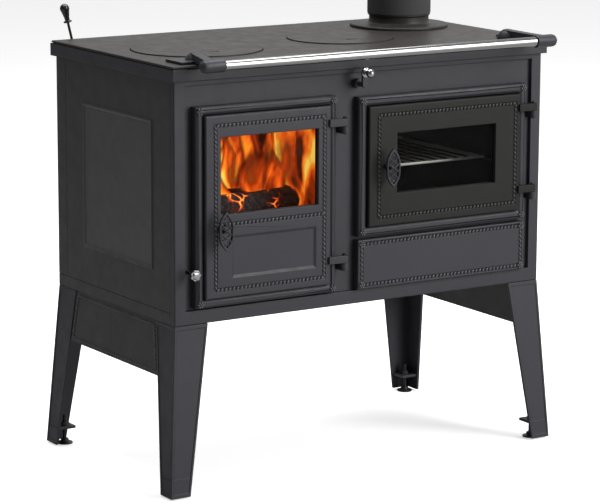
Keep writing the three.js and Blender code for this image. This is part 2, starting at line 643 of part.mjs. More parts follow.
// The channels that carry bead rows: one along each side and, if given, one across at a height.
function beadChannels(rect, front, cross) {
  const half = GROOVE.width / 2;
  const depth = [front - 1, front + GROOVE.depth];
  const upright = (x) => box([x - half, x + half], depth, [rect.z0 - half, rect.z1 + half]);
  const level = (z) => box([rect.x0 - half, rect.x1 + half], depth, [z - half, z + half]);
  const levels = cross ? [rect.z0, rect.z1, cross] : [rect.z0, rect.z1];
  return [upright(rect.x0), upright(rect.x1), ...levels.map(level)];
}

function doorArm(door, armBottom) {
  const axis = hingeAxis(door);
  const front = axis.y - HINGE.eye;
  const back = TRIM_FRONT - 1; // clear of the surround, which the arm crosses
  const root = door.x1 - HINGE.lap;
  const shape = new THREE.Shape();
  shape.moveTo(root, front + HINGE.thin);
  shape.lineTo(axis.x, front);
  shape.absarc(axis.x, axis.y, HINGE.eye, -Math.PI / 2, Math.PI / 4, false);
  shape.lineTo(axis.x - HINGE.pin, back);
  shape.lineTo(root, back);
  const arm = extrude(shape, 'z', armBottom, armBottom + HINGE.arm, 10);
  return cut(arm, hingeHole(axis, armBottom, armBottom + HINGE.arm));
}

function doorCasting(door, windowRect, pivot, hinge, details) {
  const front = DOOR_FRONT;
  const shell = stack(door, [[0, DOOR.back], [0, front + DOOR.chamfer], [DOOR.chamfer, front]]);
  const hollow = slab(inset(door, DOOR.rim), front + DOOR.plate, DOOR.back + OVERRUN);
  const pane = stack(windowRect, [[-2, front - 1], [-1, front], [1, front + DOOR.plate + 1]]);
  const place = [door.x0 + pivot.x, 0, door.z0 + pivot.z];
  const bossEnd = front + DOOR.plate + 2 * HANDLE.boss;
  const boss = rod(HANDLE.stem + HANDLE.boss, 'y', front + 1, bossEnd, place, 20);
  const hole = rod(HANDLE.stem + RUNNING, 'y', front - OVERRUN, DOOR.back, place, 20);
  const arms = hingeHeights(door, hinge).map((z) => doorArm(door, z));
  const body = join(cut(shell, hollow), boss, ...arms);
  return cut(body, pane, hole, ...details);
}

function fireDoorCasting() {
  const panel = {
    x0: fireDoor.x0 + FIRE_PANEL.left,
    x1: fireDoor.x1 - FIRE_PANEL.right,
    z0: fireDoor.z0 + FIRE_PANEL.bottom,
    z1: fireDoor.z0 + FIRE_PANEL.bottom + FIRE_PANEL.height,
  };
  const { slope, depth } = FIRE_PANEL;
  const sunk = stack(panel, [[-1, DOOR_FRONT - 1], [0, DOOR_FRONT], [slope, DOOR_FRONT + depth]]);
  const cross = fireWindow.z0 - FIRE_BEADS.belowWindow;
  const channels = beadChannels(beadRect(fireDoor, FIRE_BEADS), DOOR_FRONT, cross);
  return doorCasting(fireDoor, fireWindow, FIRE_PIVOT, FIRE_HINGE, [sunk, ...channels]);
}

function ovenDoorCasting() {
  const channels = beadChannels(beadRect(ovenDoor, OVEN_BEADS), DOOR_FRONT);
  return doorCasting(ovenDoor, ovenWindow, OVEN_PIVOT, OVEN_HINGE, channels);
}

const glassBack = DOOR_FRONT + DOOR.plate + GAP + GLASS.thickness;

function doorGlass(windowRect) {
  return slab(inset(windowRect, -GLASS.lap), glassBack - GLASS.thickness, glassBack);
}

// Pressed frame that holds the pane, with a screw head at each corner.
function glassRetainer(windowRect) {
  const outer = inset(windowRect, -GLASS.lap - RETAINER.beyond);
  const y0 = glassBack + GAP;
  const y1 = y0 + RETAINER.thickness;
  const frame = stack(outer, [[0, y0], [0, y1], [RETAINER.width, y1], [RETAINER.width, y0]], true);
  const middle = inset(outer, RETAINER.width / 2);
  const heads = [middle.x0, middle.x1].flatMap((x) => [middle.z0, middle.z1].map((z) => (
    rod(RETAINER.screw, 'y', y1 - 1, y1 + RETAINER.head, [x, 0, z], 8))));
  return join(frame, ...heads);
}

function doorGasket(door) {
  const y0 = DOOR.back + GAP;
  const y1 = SEAT;
  const mid = GASKET.width / 2;
  return stack(inset(door, GASKET.inset), [
    [0, y0 + 1], [0, y1 - 1], [mid / 2, y1], [GASKET.width - mid / 2, y1],
    [GASKET.width, y1 - 1], [GASKET.width, y0 + 1], [GASKET.width - mid / 2, y0], [mid / 2, y0],
  ], true);
}

// Pointed leaf outline; a positive offset gives the smaller leaf inside a rim of that width.
function leafShape(place, offset = 0) {
  const half = HANDLE.width / 2 - offset;
  const tall = HANDLE.height / 2 - offset * 1.8;
  const wide = half * 1.15; // the curve's control points stand outside the leaf's widest place
  const bend = tall * 0.62;
  const shape = new THREE.Shape();
  shape.moveTo(place.x, place.z - tall);
  shape.quadraticCurveTo(place.x + wide, place.z - bend, place.x + half, place.z);
  shape.quadraticCurveTo(place.x + wide, place.z + bend, place.x, place.z + tall);
  shape.quadraticCurveTo(place.x - wide, place.z + bend, place.x - half, place.z);
  shape.quadraticCurveTo(place.x - wide, place.z - bend, place.x, place.z - tall);
  return shape;
}

// Handle: an openwork leaf on a spindle through the door, with a tongue on its inner end. The
// leaf is a rim filled with two sets of slanting ribs; the tongue hangs down when released.
function doorHandle(door, pivot) {
  const place = { x: door.x0 + pivot.x, z: door.z0 + pivot.z };
  const front = DOOR_FRONT - HANDLE.reach - HANDLE.leaf;
  const back = front + HANDLE.leaf;
  const leaf = extrude(leafShape(place), 'y', front, back, 4);
  const hole = extrude(leafShape(place, HANDLE.rim), 'y', front - OVERRUN, back + OVERRUN, 4);
  const { rib, spacing, lean, rows, sunk } = LATTICE;
  const ribs = [];
  for (const slope of [-lean, lean]) {
    for (let row = -rows; row <= rows; row += 1) {
      const bar = box([-HANDLE.width, HANDLE.width], [front + sunk, back - sunk], [-rib / 2, rib / 2]);
      ribs.push(bar.rotateY(slope).translate(place.x, 0, place.z + row * spacing));
    }
  }
  const lattice = geometryOf(ribs.map(solid).reduce((all, bar) => all.add(bar)).intersect(solid(leaf)));
  const inner = WALL.front + TONGUE.behind;
  const spindle = rod(HANDLE.stem, 'y', back - 2, inner + TONGUE.thickness, [place.x, 0, place.z], 16);
  const tongue = extrude(outline([
    [place.x - TONGUE.width / 2, place.z + TONGUE.width / 2],
    [place.x - TONGUE.width / 2, place.z - TONGUE.length],
    [place.x + TONGUE.width / 2, place.z - TONGUE.length],
    [place.x + TONGUE.width / 2, place.z + TONGUE.width / 2],
  ]), 'y', inner, inner + TONGUE.thickness);
  return join(cut(leaf, hole), lattice, spindle, tongue);
}

function hingePin(door, armBottom) {
  const axis = hingeAxis(door);
  const top = armBottom + HINGE.arm + GAP;
  const foot = armBottom - HINGE.lug - 2;
  const crown = top + 3.5;
  return turned([
    [0, foot], [HINGE.pin, foot], [HINGE.pin, top],
    [HINGE.head, top], [HINGE.head, crown - 1.5], [HINGE.head * 0.6, crown], [0, crown],
  ], 'z', [axis.x, axis.y, 0], 10);
}

function sootCoverCasting() {
  const front = FACE - SOOT_COVER.proud;
  const shell = stack(sootCover, [[0, SEAT], [0, front + EDGE], [EDGE, front]]);
  const { plate, lip } = SOOT_COVER;
  const hollow = slab(inset(sootCover, plate), front + plate, SEAT + OVERRUN);
  const root = front + plate - 1;
  const spigot = stack(inset(sootOpening, DOOR.play), [
    [0, root], [0, WALL.front], [lip, WALL.front], [lip, root],
  ], true);
  const beads = beadRect(sootCover, SOOT_BEADS);
  const body = cut(join(cut(shell, hollow), spigot), ...beadChannels(beads, front));
  return join(body, ...rosettes(beads, front));
}

// ---------------------------------------------------------------- firebox
const ashTop = BODY.bottom + ASH_BOX.top;
const partitionX = [crankAxis.x - PARTITION.thickness, crankAxis.x];
const brickRight = partitionX[0] - GAP;
const earRear = panelRear - EAR.rear;
const ashRear = panelRear - BRICK.behind;
const brickRear = ashRear - ASH_BOX.behind - BRICK.thickness; // rear end of the side bricks
const grateHole = {
  x0: fireOpening.x0,
  x1: fireOpening.x1,
  y0: BRICK.front + GRATE.front,
  y1: brickRear - GRATE.rear,
};

// Ash box: the shelf that carries grate and bricks, with the tunnel for the ash pan under it.
function ashBox() {
  const y = [BRICK.front, ashRear];
  const shelf = box([ASH_BOX.left, brickRight], y, [ashTop - ASH_BOX.plate, ashTop]);
  const low = fireOpening.z0;
  const walls = [
    box([fireOpening.x0 - ASH_BOX.wall, fireOpening.x0], y, [low - ASH_BOX.floor, ashTop - 1]),
    box([fireOpening.x1, fireOpening.x1 + ASH_BOX.wall], y, [low - ASH_BOX.floor, ashTop - 1]),
  ];
  const floor = box([fireOpening.x0 - 1, fireOpening.x1 + 1], y, [low - ASH_BOX.floor, low]);
  const feet = [fireOpening.x0 - ASH_BOX.wall, fireOpening.x1 + ASH_BOX.wall - ASH_BOX.foot].flatMap((x) => (
    [BRICK.front, ashRear - ASH_BOX.foot].map((footY) => (
      box([x, x + ASH_BOX.foot], [footY, footY + ASH_BOX.foot], [floorTop + GAP, low - 1])))));
  const through = [ashTop - ASH_BOX.plate - OVERRUN, ashTop + OVERRUN];
  const hole = box([grateHole.x0, grateHole.x1], [grateHole.y0, grateHole.y1], through);
  const r = GRATE.rebate;
  const rebate = box(
    [grateHole.x0 - r, grateHole.x1 + r],
    [grateHole.y0 - r, grateHole.y1 + r],
    [ashTop - ASH_BOX.plate / 2, ashTop + OVERRUN],
  );
  return cut(join(shelf, ...walls, floor, ...feet), hole, rebate);
}

// Grate: a cast plate dropped in the shelf's rebate, with two rows of slots between its bars.
function fireGrate() {
  const grow = GRATE.rebate - GRATE.play;
  const x = [grateHole.x0 - grow, grateHole.x1 + grow];
  const y = [grateHole.y0 - grow, grateHole.y1 + grow];
  const z0 = ashTop - ASH_BOX.plate / 2 + GAP;
  const z1 = z0 + GRATE.thickness;
  const pitch = GRATE.slot + GRATE.bar;
  const span = x[1] - x[0] - 2 * GRATE.border;
  const count = Math.floor((span + GRATE.bar) / pitch);
  const first = (x[0] + x[1]) / 2 - ((count - 1) * pitch + GRATE.slot) / 2;
  const middle = (y[0] + y[1]) / 2;
  const rows = [
    [y[0] + GRATE.border, middle - GRATE.bar / 2],
    [middle + GRATE.bar / 2, y[1] - GRATE.border],
  ];
  const slots = Array.from({ length: count }, (_, i) => first + i * pitch).flatMap((left) => (
    rows.map((row) => box([left, left + GRATE.slot], row, [z0 - OVERRUN, z1 + OVERRUN]))));
  return cut(box(x, y, [z0, z1]), ...slots);
}

const brickZ = [ashTop + GAP, ashTop + GAP + BRICK.height];

function brick(x, y) {
  const c = BRICK.chamfer;
  return flatStack({ x0: x[0], x1: x[1], y0: y[0], y1: y[1] }, [
    [0, brickZ[0]], [0, brickZ[1] - c], [c, brickZ[1]],
  ]);
}

const brickSideY = [BRICK.front, brickRear];
const brickRearY = [brickSideY[1] + GAP, brickSideY[1] + GAP + BRICK.thickness];

function ashPan() {
  const x = [fireOpening.x0 + ASH_PAN.play, fireOpening.x1 - ASH_PAN.play];
  const y = [ASH_PAN.front, ashRear - ASH_PAN.rear];
  const z = [fireOpening.z0 + GAP, fireOpening.z0 + GAP + ASH_PAN.height];
  const { wall, taper } = ASH_PAN;
  const tray = flatStack({ x0: x[0], x1: x[1], y0: y[0], y1: y[1] }, [[taper, z[0]], [0, z[1]]]);
  const inside = { x0: x[0] + wall, x1: x[1] - wall, y0: y[0] + wall, y1: y[1] - wall };
  const well = flatStack(inside, [[taper, z[0] + wall], [-0.1, z[1] + 1]]);
  const { reach, width, height, below, sheet, joint } = PAN_PULL;
  const lip = y[0] - reach;
  const top = z[1] - below;
  const middle = (x[0] + x[1]) / 2;
  const pull = extrude(outline([
    [y[0] + sheet, top - height], [lip, top - height], [lip, top],
    [lip + sheet, top], [lip + sheet, top - height + joint], [y[0] + sheet, top - height + joint],
  ]), 'x', middle - width / 2, middle + width / 2);
  return cut(join(tray, pull), well);
}

// Partition between firebox and oven, with two ears on top that carry the damper's spindle.
function partition() {
  const z = [floorTop + GAP, crankAxis.z - FLAP.halfHeight - PARTITION.gap];
  const wall = box(partitionX, [WALL.front + GAP + WALL.side + GAP, panelRear], z);
  const earX = [partitionX[0], crankAxis.x + PARTITION.thickness];
  const earZ = [z[1] - PARTITION.foot, crankAxis.z + PARTITION.above];
  const ears = [EAR.front, earRear].map((y) => box(earX, [y, y + EAR.thickness], earZ));
  const place = [crankAxis.x, 0, crankAxis.z];
  const reach = [EAR.front - OVERRUN, earRear + EAR.thickness + OVERRUN];
  const bearing = rod(FLAP.rod + RUNNING, 'y', ...reach, place, 12);
  return cut(join(wall, ...ears), bearing);
}

// ---------------------------------------------------------------- oven
const ovenInner = inset(ovenOpening, -OVEN.margin);
const ovenY = [WALL.front + GAP, panelRear - OVEN.behind];
const ledgeZ = ovenInner.z0 + OVEN.ledgeHeight;

function ovenBox() {
  const y = ovenY;
  const outer = slab(inset(ovenInner, -OVEN.wall), ...y);
  const shell = cut(outer, slab(ovenInner, y[0] - OVERRUN, y[1] - OVEN.wall));
  const z = [ledgeZ - OVEN.ledgeThickness, ledgeZ];
  const run = [y[0] + OVEN.ledgeFront, y[1] - OVEN.wall + 1];
  const ledges = [
    box([ovenInner.x0 - 1, ovenInner.x0 + OVEN.ledge], run, z),
    box([ovenInner.x1 - OVEN.ledge, ovenInner.x1 + 1], run, z),
  ];
  return join(shell, ...ledges);
}

// Oven rack: a bent-wire frame with cross wires welded on top of it, front to back.
function ovenRack() {
  const x = [ovenInner.x0 + RACK.play, ovenInner.x1 - RACK.play];
  const y = [RACK.front, ovenY[1] - OVEN.wall - RACK.rear];
  const z = ledgeZ + GAP + RACK.frame;
  const run = [y[0] - RACK.frame, y[1] + RACK.frame];
  const along = (radius, at) => rod(radius, 'y', ...run, [at, 0, z], RACK.sides);
  const sides = [x[0] + RACK.frame, x[1] - RACK.frame].map((at) => along(RACK.frame, at));
  const ends = y.map((at) => rod(RACK.frame, 'x', ...x, [0, at, z], RACK.sides));
  const pitch = (x[1] - x[0]) / (RACK.wires + 1);
  const wires = Array.from({ length: RACK.wires }, (_, i) => (
    along(RACK.wire, x[0] + (i + 1) * pitch).translate(0, 0, RACK.frame)));
  return join(...sides, ...ends, ...wires);
}

// Baffle under the oven: it carries the liner and sends the smoke round it.
function smokeBaffle() {
  const x = (ovenInner.x0 + ovenInner.x1) / 2;
  const z = [floorTop + GAP, ovenInner.z0 - OVEN.wall - GAP];
  return box([x, x + BAFFLE.thickness], [BAFFLE.front, ovenY[1] - BAFFLE.rear], z);
}

// ---------------------------------------------------------------- controls
const crankPlace = [crankAxis.x, 0, crankAxis.z];
const crankEnd = FACE - CRANK.forward; // Y of the crank arm's front face

function damperCrank() {
  const hub = rod(CRANK.hub, 'y', SEAT - CRANK.hubLength, SEAT, crankPlace, 20);
  const shaft = rod(CRANK.shaft, 'y', crankEnd + 1, WALL.front + CRANK.inner, crankPlace, 16);
  const shape = new THREE.Shape();
  const half = CRANK_ARM.width / 2;
  shape.absarc(crankAxis.x, crankAxis.z, half, Math.PI, 2 * Math.PI, false);
  shape.absarc(crankAxis.x, crankAxis.z + CRANK_ARM.length, half, 0, Math.PI, false);
  const arm = extrude(shape, 'y', crankEnd, crankEnd + CRANK_ARM.thickness, 6);
  return join(hub, shaft, arm);
}

function damperKnob() {
  const { ball, collar, collarLength, neck, neckLength } = CRANK_KNOB;
  const back = crankEnd - GAP;
  const profile = [[0, back], [collar, back], [collar, back - collarLength], [neck, back - collarLength - 1]];
  const centre = back - neckLength - ball;
  profile.push([neck, centre + Math.sqrt(ball * ball - neck * neck)]);
  for (let step = 2; step < BALL_STEPS; step += 1) {
    const angle = (step / BALL_STEPS) * Math.PI;
    profile.push([ball * Math.sin(angle), centre + ball * Math.cos(angle)]);
  }
  profile.push([0, centre - ball]);
  return turned(profile, 'y', [crankAxis.x, 0, crankAxis.z + CRANK_ARM.length], 14);
}

function damperFlap() {
  const y = [WALL.front + CRANK.inner + GAP, earRear + EAR.thickness + FLAP.tail];
  const spindle = rod(FLAP.rod, 'y', y[0], y[1], crankPlace, 12);
  const plate = box(
    [crankAxis.x - FLAP.thickness / 2, crankAxis.x + FLAP.thickness / 2],
    [EAR.front + EAR.thickness + FLAP.play, earRear - FLAP.play],
    [crankAxis.z - FLAP.halfHeight, crankAxis.z + FLAP.halfHeight],
  );
  return join(spindle, plate);
}

// Fluted knob: a star outline with a domed cap in front and a plain hub behind.
function airKnob() {
  const { radius, lobes, fluting, length, cap, hub } = AIR_KNOB;
  const turns = lobes * 5;
  const star = outline(Array.from({ length: turns }, (_, i) => {
    const angle = (i / turns) * 2 * Math.PI;
    const reach = radius - fluting * (1 - Math.cos(lobes * angle));
    return [AIR.x + reach * Math.cos(angle), airZ + reach * Math.sin(angle)];
  }));
  const back = FACE - AIR.stand;
  const front = back - length;
  const place = [AIR.x, 0, airZ];
  const dome = [[0, front + length / 3], [cap, front + length / 3], [cap - 2, front + 1], [0, front]];
  return join(
    extrude(star, 'y', front + length / 4, back - hub + 1),
    turned(dome, 'y', place, 16),
    rod(hub, 'y', back - hub, back, place, 14),
  );
}

// the slide stands back far enough to be drawn forward behind the front
const slideFront = WALL.front + AIR.travel + AIR_SLIDE.play;

function airSlots(x) {
  const { count, length, height, first, bar } = AIR_SLOT;
  return Array.from({ length: count }, (_, i) => {
    const y = slideFront + first + i * (length + bar);
    return box(x, [y, y + length], [airZ - height / 2, airZ + height / 2]);
  });
}

const slideLength = AIR_SLOT.count * (AIR_SLOT.length + AIR_SLOT.bar);

// Slotted slide on its pull rod. Its bars cover the duct's slots until it is drawn forward.
function airSlide() {
  const x = [AIR.x + AIR.rod - 1, AIR.x + AIR.rod - 1 + AIR_SLIDE.thickness];
  const y = [slideFront, slideFront + slideLength];
  const half = AIR_SLIDE.height / 2;
  const through = [x[0] - OVERRUN, x[1] + OVERRUN];
  const slots = airSlots(through).map((slot) => slot.translate(0, AIR.travel, 0));
  const plate = cut(box(x, y, [airZ - half, airZ + half]), ...slots);
  const pull = rod(AIR.rod, 'y', FACE - AIR.stand + GAP, slideFront + 8, [AIR.x, 0, airZ], 12);
  const spine = box([AIR.x - 2, x[0] + 1], [slideFront, y[1]], [airZ + half - 8, airZ + half]);
  const web = box([AIR.x - 2, x[0] + 1], [slideFront, slideFront + 6], [airZ - 6, airZ + half]);
  return join(plate, pull, spine, web);
}

function airPortPlate() {
  const x0 = AIR.x + AIR.rod - 1 + AIR_SLIDE.thickness + GAP;
  const x = [x0, x0 + 4];
  const plate = box(x, brickSideY, [floorTop + GAP, ashTop - ASH_BOX.plate - GAP]);
  return cut(plate, ...airSlots([x[0] - OVERRUN, x[1] + OVERRUN]));
}

// Lever on the rear corner: a leaning rod that carries a round shutter over the rear inlet.
function leaning(geometry) {
  return geometry.rotateY(shutterAngle).translate(leverPivot.x, 0, leverPivot.z);
}

function rearLever() {
  const { y } = leverPivot;
  const { rod: radius, grip, boss, pin } = LEVER;
  const thick = [y - radius, y + radius];
  const stem = rod(radius, 'z', 0, grip, [0, y, 0], 10);
  const eye = rod(boss, 'y', thick[0] - 0.8, thick[1] + 0.8, [0, 0, 0], 16);
  const drop = box([-SHUTTER.stem / 2, SHUTTER.stem / 2], thick, [-SHUTTER.drop, 0]);
  const disc = rod(SHUTTER.radius, 'y', thick[0], thick[1] - 1.5, [0, 0, -SHUTTER.drop], 28);
  const hole = rod(pin + RUNNING, 'y', y - boss, y + boss, [0, 0, 0], 12);
  return leaning(cut(join(stem, eye, drop, disc), hole));
}

function rearLeverKnob() {
  const { ball, neck, length, guard } = LEVER_KNOB;
  const end = LEVER.grip + GAP; // bottom of the blind hole that takes the rod
  const foot = end - LEVER_KNOB.socket;
  const centre = foot + length;
  const socket = LEVER.rod + GAP;
  const profile = [
    [socket, foot], [guard - 3, foot], [guard, foot + 1], [guard, foot + 3], [neck, foot + 4],
    [neck + 0.5, foot + 11],
  ];
  for (let step = 3; step < BALL_STEPS; step += 1) {
    const angle = Math.PI - (step / BALL_STEPS) * Math.PI;
    profile.push([ball * Math.sin(angle), centre + ball * Math.cos(angle)]);
  }
  profile.push([0, centre + ball], [0, end], [socket, end], [socket, foot]);
  return leaning(turned(profile, 'z', [0, leverPivot.y, 0], 12));
}

// U-shaped bracket behind the cooktop's rear edge, with the lever's pin across it.
function rearLeverBracket() {
  const { left, right, below, above, cheek, stop } = LEVER_BRACKET;
  const y = [BODY.depth + TOP.rear + GAP, BODY.depth + LEVER_BRACKET.rear];
  const z = [BODY.top - below, BODY.top + above];
  const block = box([left, right], y, z);
  const slot = box(
    [LEVER.x - stop, right + OVERRUN],
    [y[0] + cheek, y[1] - cheek],
    [z[0] - OVERRUN, z[1] + OVERRUN],
  );
  const pin = rod(LEVER.pin, 'y', y[0] + 1, y[1] - 1, [leverPivot.x, 0, leverPivot.z], 12);
  return join(cut(block, slot), pin);
}

// ---------------------------------------------------------------- materials
function finish(color, roughness, metalness, extra = {}) {
  return new THREE.MeshStandardMaterial({ color, roughness, metalness, ...extra });
}

const IRON = finish(0x3b3c41, 0.6, 0.35); // cast iron, stove-blacked, front and doors
const SIDE_IRON = finish(0x2f2f31, 0.65, 0.3);
const HOB_IRON = finish(0x5c5853, 0.5, 0.5);
const SHEET = finish(0x333333, 0.5, 0.4);
const STEEL = finish(0xc9c8c5, 0.25, 1);
const CHROME = finish(0xe6e6e6, 0.08, 1);
const BLACK_KNOB = finish(0x151515, 0.2, 0);
const PANE = finish(0x2a2a28, 0.05, 0, { transparent: true, opacity: 0.35 });
const ROPE = finish(0x3a3a38, 0.95, 0);
const FIREBRICK = finish(0x9a8467, 0.9, 0);
const ASH_STEEL = finish(0x4a4a4c, 0.5, 0.7);

// ---------------------------------------------------------------- assembly
const stove = new THREE.Group();
const placed = new THREE.Group();
stove.add(placed);

function add(name, geometry, material) {
  const body = closed(geometry);
  body.computeVertexNormals();
  const mesh = new THREE.Mesh(body, material);
  mesh.name = name;
  placed.add(mesh);
  return mesh;
}

add('base_plate', basePlate(), SIDE_IRON);
add('side_panel_left', sidePanel(), SIDE_IRON);
add('side_panel_right', mirrored(sidePanel()), SIDE_IRON);
add('rear_panel', rearPanel(), SIDE_IRON);
add('front_frame', frontFrame(), IRON);
add('fire_door_surround', surround(fireTrim, FIRE_TRIM.moulding), IRON);
add('oven_door_surround', surround(ovenTrim, OVEN_TRIM.moulding), IRON);
add('top_frame', topFrame(), IRON);
add('cooktop_plate', cooktopPlate(), HOB_IRON);
add('lid_large', lid(LARGE_LID), HOB_IRON);
add('lid_small', lid(SMALL_LID), HOB_IRON);
add('flue_collar', flueCollar(), IRON);
add('flue_pipe', fluePipe(), SHEET);

add('towel_rail', towelRail(), STEEL);
add('rail_bracket_left', railBracket(), IRON);
add('rail_bracket_right', mirrored(railBracket()), IRON);

const across = (geometry) => mirrored(geometry);
const behind = (geometry) => geometry.clone().scale(1, -1, 1).translate(0, BODY.depth, 0);
const CORNERS = {
  front_left: (geometry) => geometry,
  front_right: across,
  rear_left: behind,
  rear_right: (geometry) => across(behind(geometry)),
};
for (const [corner, move] of Object.entries(CORNERS)) {
  add(`leg_${corner}`, move(leg()), IRON);
  add(`levelling_foot_${corner}`, move(levellingFoot()), SHEET);
}
add('side_apron_left', sideApron(), SIDE_IRON);
add('side_apron_right', mirrored(sideApron()), SIDE_IRON);

add('fire_door', fireDoorCasting(), IRON);
add('fire_door_glass', doorGlass(fireWindow), PANE);
add('fire_glass_retainer', glassRetainer(fireWindow), SHEET);
add('fire_door_gasket', doorGasket(fireDoor), ROPE);
add('fire_door_handle', doorHandle(fireDoor, FIRE_PIVOT), IRON);
add('oven_door', ovenDoorCasting(), IRON);
add('oven_door_glass', doorGlass(ovenWindow), PANE);
add('oven_glass_retainer', glassRetainer(ovenWindow), SHEET);
add('oven_door_gasket', doorGasket(ovenDoor), ROPE);
add('oven_door_handle', doorHandle(ovenDoor, OVEN_PIVOT), IRON);
for (const [door, rect, hinge] of [['fire', fireDoor, FIRE_HINGE], ['oven', ovenDoor, OVEN_HINGE]]) {
  hingeHeights(rect, hinge).forEach((z, i) => {
    add(`${door}_hinge_pin_${['lower', 'upper'][i]}`, hingePin(rect, z), SHEET);
  });
}
add('soot_cover', sootCoverCasting(), IRON);

add('ash_box', ashBox(), SIDE_IRON);
add('fire_grate', fireGrate(), SIDE_IRON);
add('firebrick_left', brick([BRICK.left, BRICK.left + BRICK.thickness], brickSideY), FIREBRICK);
add('firebrick_right', brick([brickRight - BRICK.thickness, brickRight], brickSideY), FIREBRICK);
add('firebrick_rear', brick([BRICK.left, brickRight], brickRearY), FIREBRICK);
add('ash_pan', ashPan(), ASH_STEEL);
add('partition', partition(), SIDE_IRON);
add('oven_box', ovenBox(), SHEET);
add('oven_rack', ovenRack(), CHROME);
add('smoke_baffle', smokeBaffle(), SIDE_IRON);

add('damper_crank', damperCrank(), IRON);
add('damper_knob', damperKnob(), CHROME);
add('damper_flap', damperFlap(), SIDE_IRON);
add('air_knob', airKnob(), CHROME);
add('air_slide', airSlide(), SHEET);
add('air_port_plate', airPortPlate(), SIDE_IRON);
add('rear_lever', rearLever(), SHEET);
add('rear_lever_knob', rearLeverKnob(), BLACK_KNOB);
add('rear_lever_bracket', rearLeverBracket(), IRON);

// Origin: on the floor, under the middle of the stove's bounding box.
const bounds = new THREE.Box3().setFromObject(placed);
const centre = bounds.getCenter(new THREE.Vector3());
placed.position.set(-centre.x, -centre.y, 0);

export default stove;
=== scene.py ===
"""Looks of the wood cookstove: finishes, bead borders, fire, studio light and camera.

Metres, +Z up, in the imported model's own frame: X to the right, Y away from the viewer, and the
origin on the floor under the middle of the stove. New pieces are laid out in the casing's own
millimetres, which start from the base plate's box.
"""

import math
import random

import bmesh
import bpy
from mathutils import Matrix, Vector, noise


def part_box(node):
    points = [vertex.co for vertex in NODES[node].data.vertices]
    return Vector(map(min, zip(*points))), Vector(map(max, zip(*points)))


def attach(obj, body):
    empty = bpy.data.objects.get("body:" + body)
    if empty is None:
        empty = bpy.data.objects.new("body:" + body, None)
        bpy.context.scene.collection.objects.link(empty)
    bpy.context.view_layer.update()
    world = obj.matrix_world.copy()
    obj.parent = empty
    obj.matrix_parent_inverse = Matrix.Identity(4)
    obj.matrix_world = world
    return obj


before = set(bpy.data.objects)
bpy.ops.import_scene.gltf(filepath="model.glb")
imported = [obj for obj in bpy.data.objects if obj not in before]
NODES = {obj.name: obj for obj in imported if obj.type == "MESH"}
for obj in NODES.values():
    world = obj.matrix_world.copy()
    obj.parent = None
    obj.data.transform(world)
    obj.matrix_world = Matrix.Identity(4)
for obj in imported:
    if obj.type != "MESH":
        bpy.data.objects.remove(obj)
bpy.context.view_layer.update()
MM = 0.001


# the casing's own millimetres: X from its left side, Y back from its front face, Z from the floor
CASING_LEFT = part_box("base_plate")[0][0]
CASING_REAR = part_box("base_plate")[1][1]
CASING_DEPTH = 482 * MM
CASING_WIDTH = -2 * CASING_LEFT / MM  # it is centred on the origin


def at(x, y, z):
    """A point in the casing's millimetres, as a place in the model's frame."""
    return Vector((CASING_LEFT + x * MM, CASING_REAR - CASING_DEPTH + y * MM, z * MM))


# ---------------------------------------------------------------- camera
CAMERA_PLACE = Vector((-3.0847, -4.8273, 1.5405))
CAMERA_YAW = math.radians(32.58)  # from +Y towards +X
CAMERA_PITCH = math.radians(11.16)  # downwards
CAMERA_ROLL = math.radians(0.23)
CAMERA_SENSOR = 36
CAMERA_LENS = 168.55
CAMERA_SHIFT = (-0.0105, -0.0012)


def place_camera():
    """The camera at the photo's viewing angle."""
    forward = Vector(
        (
            math.sin(CAMERA_YAW) * math.cos(CAMERA_PITCH),
            math.cos(CAMERA_YAW) * math.cos(CAMERA_PITCH),
            -math.sin(CAMERA_PITCH),
        )
    )
    level = Vector((math.cos(CAMERA_YAW), -math.sin(CAMERA_YAW), 0))
    upright = level.cross(forward)
    right = math.cos(CAMERA_ROLL) * level + math.sin(CAMERA_ROLL) * upright
    up = math.cos(CAMERA_ROLL) * upright - math.sin(CAMERA_ROLL) * level
    data = bpy.data.cameras.new("camera")
    data.sensor_width = CAMERA_SENSOR
    data.lens = CAMERA_LENS
    data.shift_x, data.shift_y = CAMERA_SHIFT
    data.clip_end = 100
    camera = bpy.data.objects.new("camera", data)
    turn = Matrix((right, up, -forward)).transposed().to_4x4()
    camera.matrix_world = Matrix.Translation(CAMERA_PLACE) @ turn
    bpy.context.scene.collection.objects.link(camera)
    bpy.context.scene.camera = camera


place_camera()


# ---------------------------------------------------------------- shader helpers
def shader(name, **surface):
    """A new material, its node tree and its Principled node with the given sockets set."""
    material = bpy.data.materials.new(name)
    material.use_nodes = True
    tree = material.node_tree
    principled = tree.nodes["Principled BSDF"]
    for socket, value in surface.items():
        principled.inputs[socket.replace("_", " ")].default_value = value
    return material, tree, principled


def mix_shader(name):
    """A new material without a Principled node, and its node tree."""
    material, tree, principled = shader(name)
    tree.nodes.remove(principled)
    return material, tree


def add(tree, kind, inputs=None, **settings):
    """A new node with its settings, and each input either linked to a socket or given a value."""
    node = tree.nodes.new("ShaderNode" + kind)
    for key, value in settings.items():
        setattr(node, key, value)
    for key, value in (inputs or {}).items():
        if isinstance(value, bpy.types.NodeSocket):
            tree.links.new(value, node.inputs[key])
        else:
            node.inputs[key].default_value = value
    return node


def show_mix(tree, factor, first, second):
    """Sends a mix of two shaders to the output, all of the first at 0 and of the second at 1."""
    both = add(tree, "MixShader", {"Fac": factor, 1: first, 2: second})
    tree.links.new(both.outputs["Shader"], tree.nodes["Material Output"].inputs["Surface"])


def noise_of(tree, place, scale, detail):
    """Noise round 0.5, with its scale per metre."""
    return add(tree, "TexNoise", {"Vector": place, "Scale": scale, "Detail": detail}).outputs["Fac"]


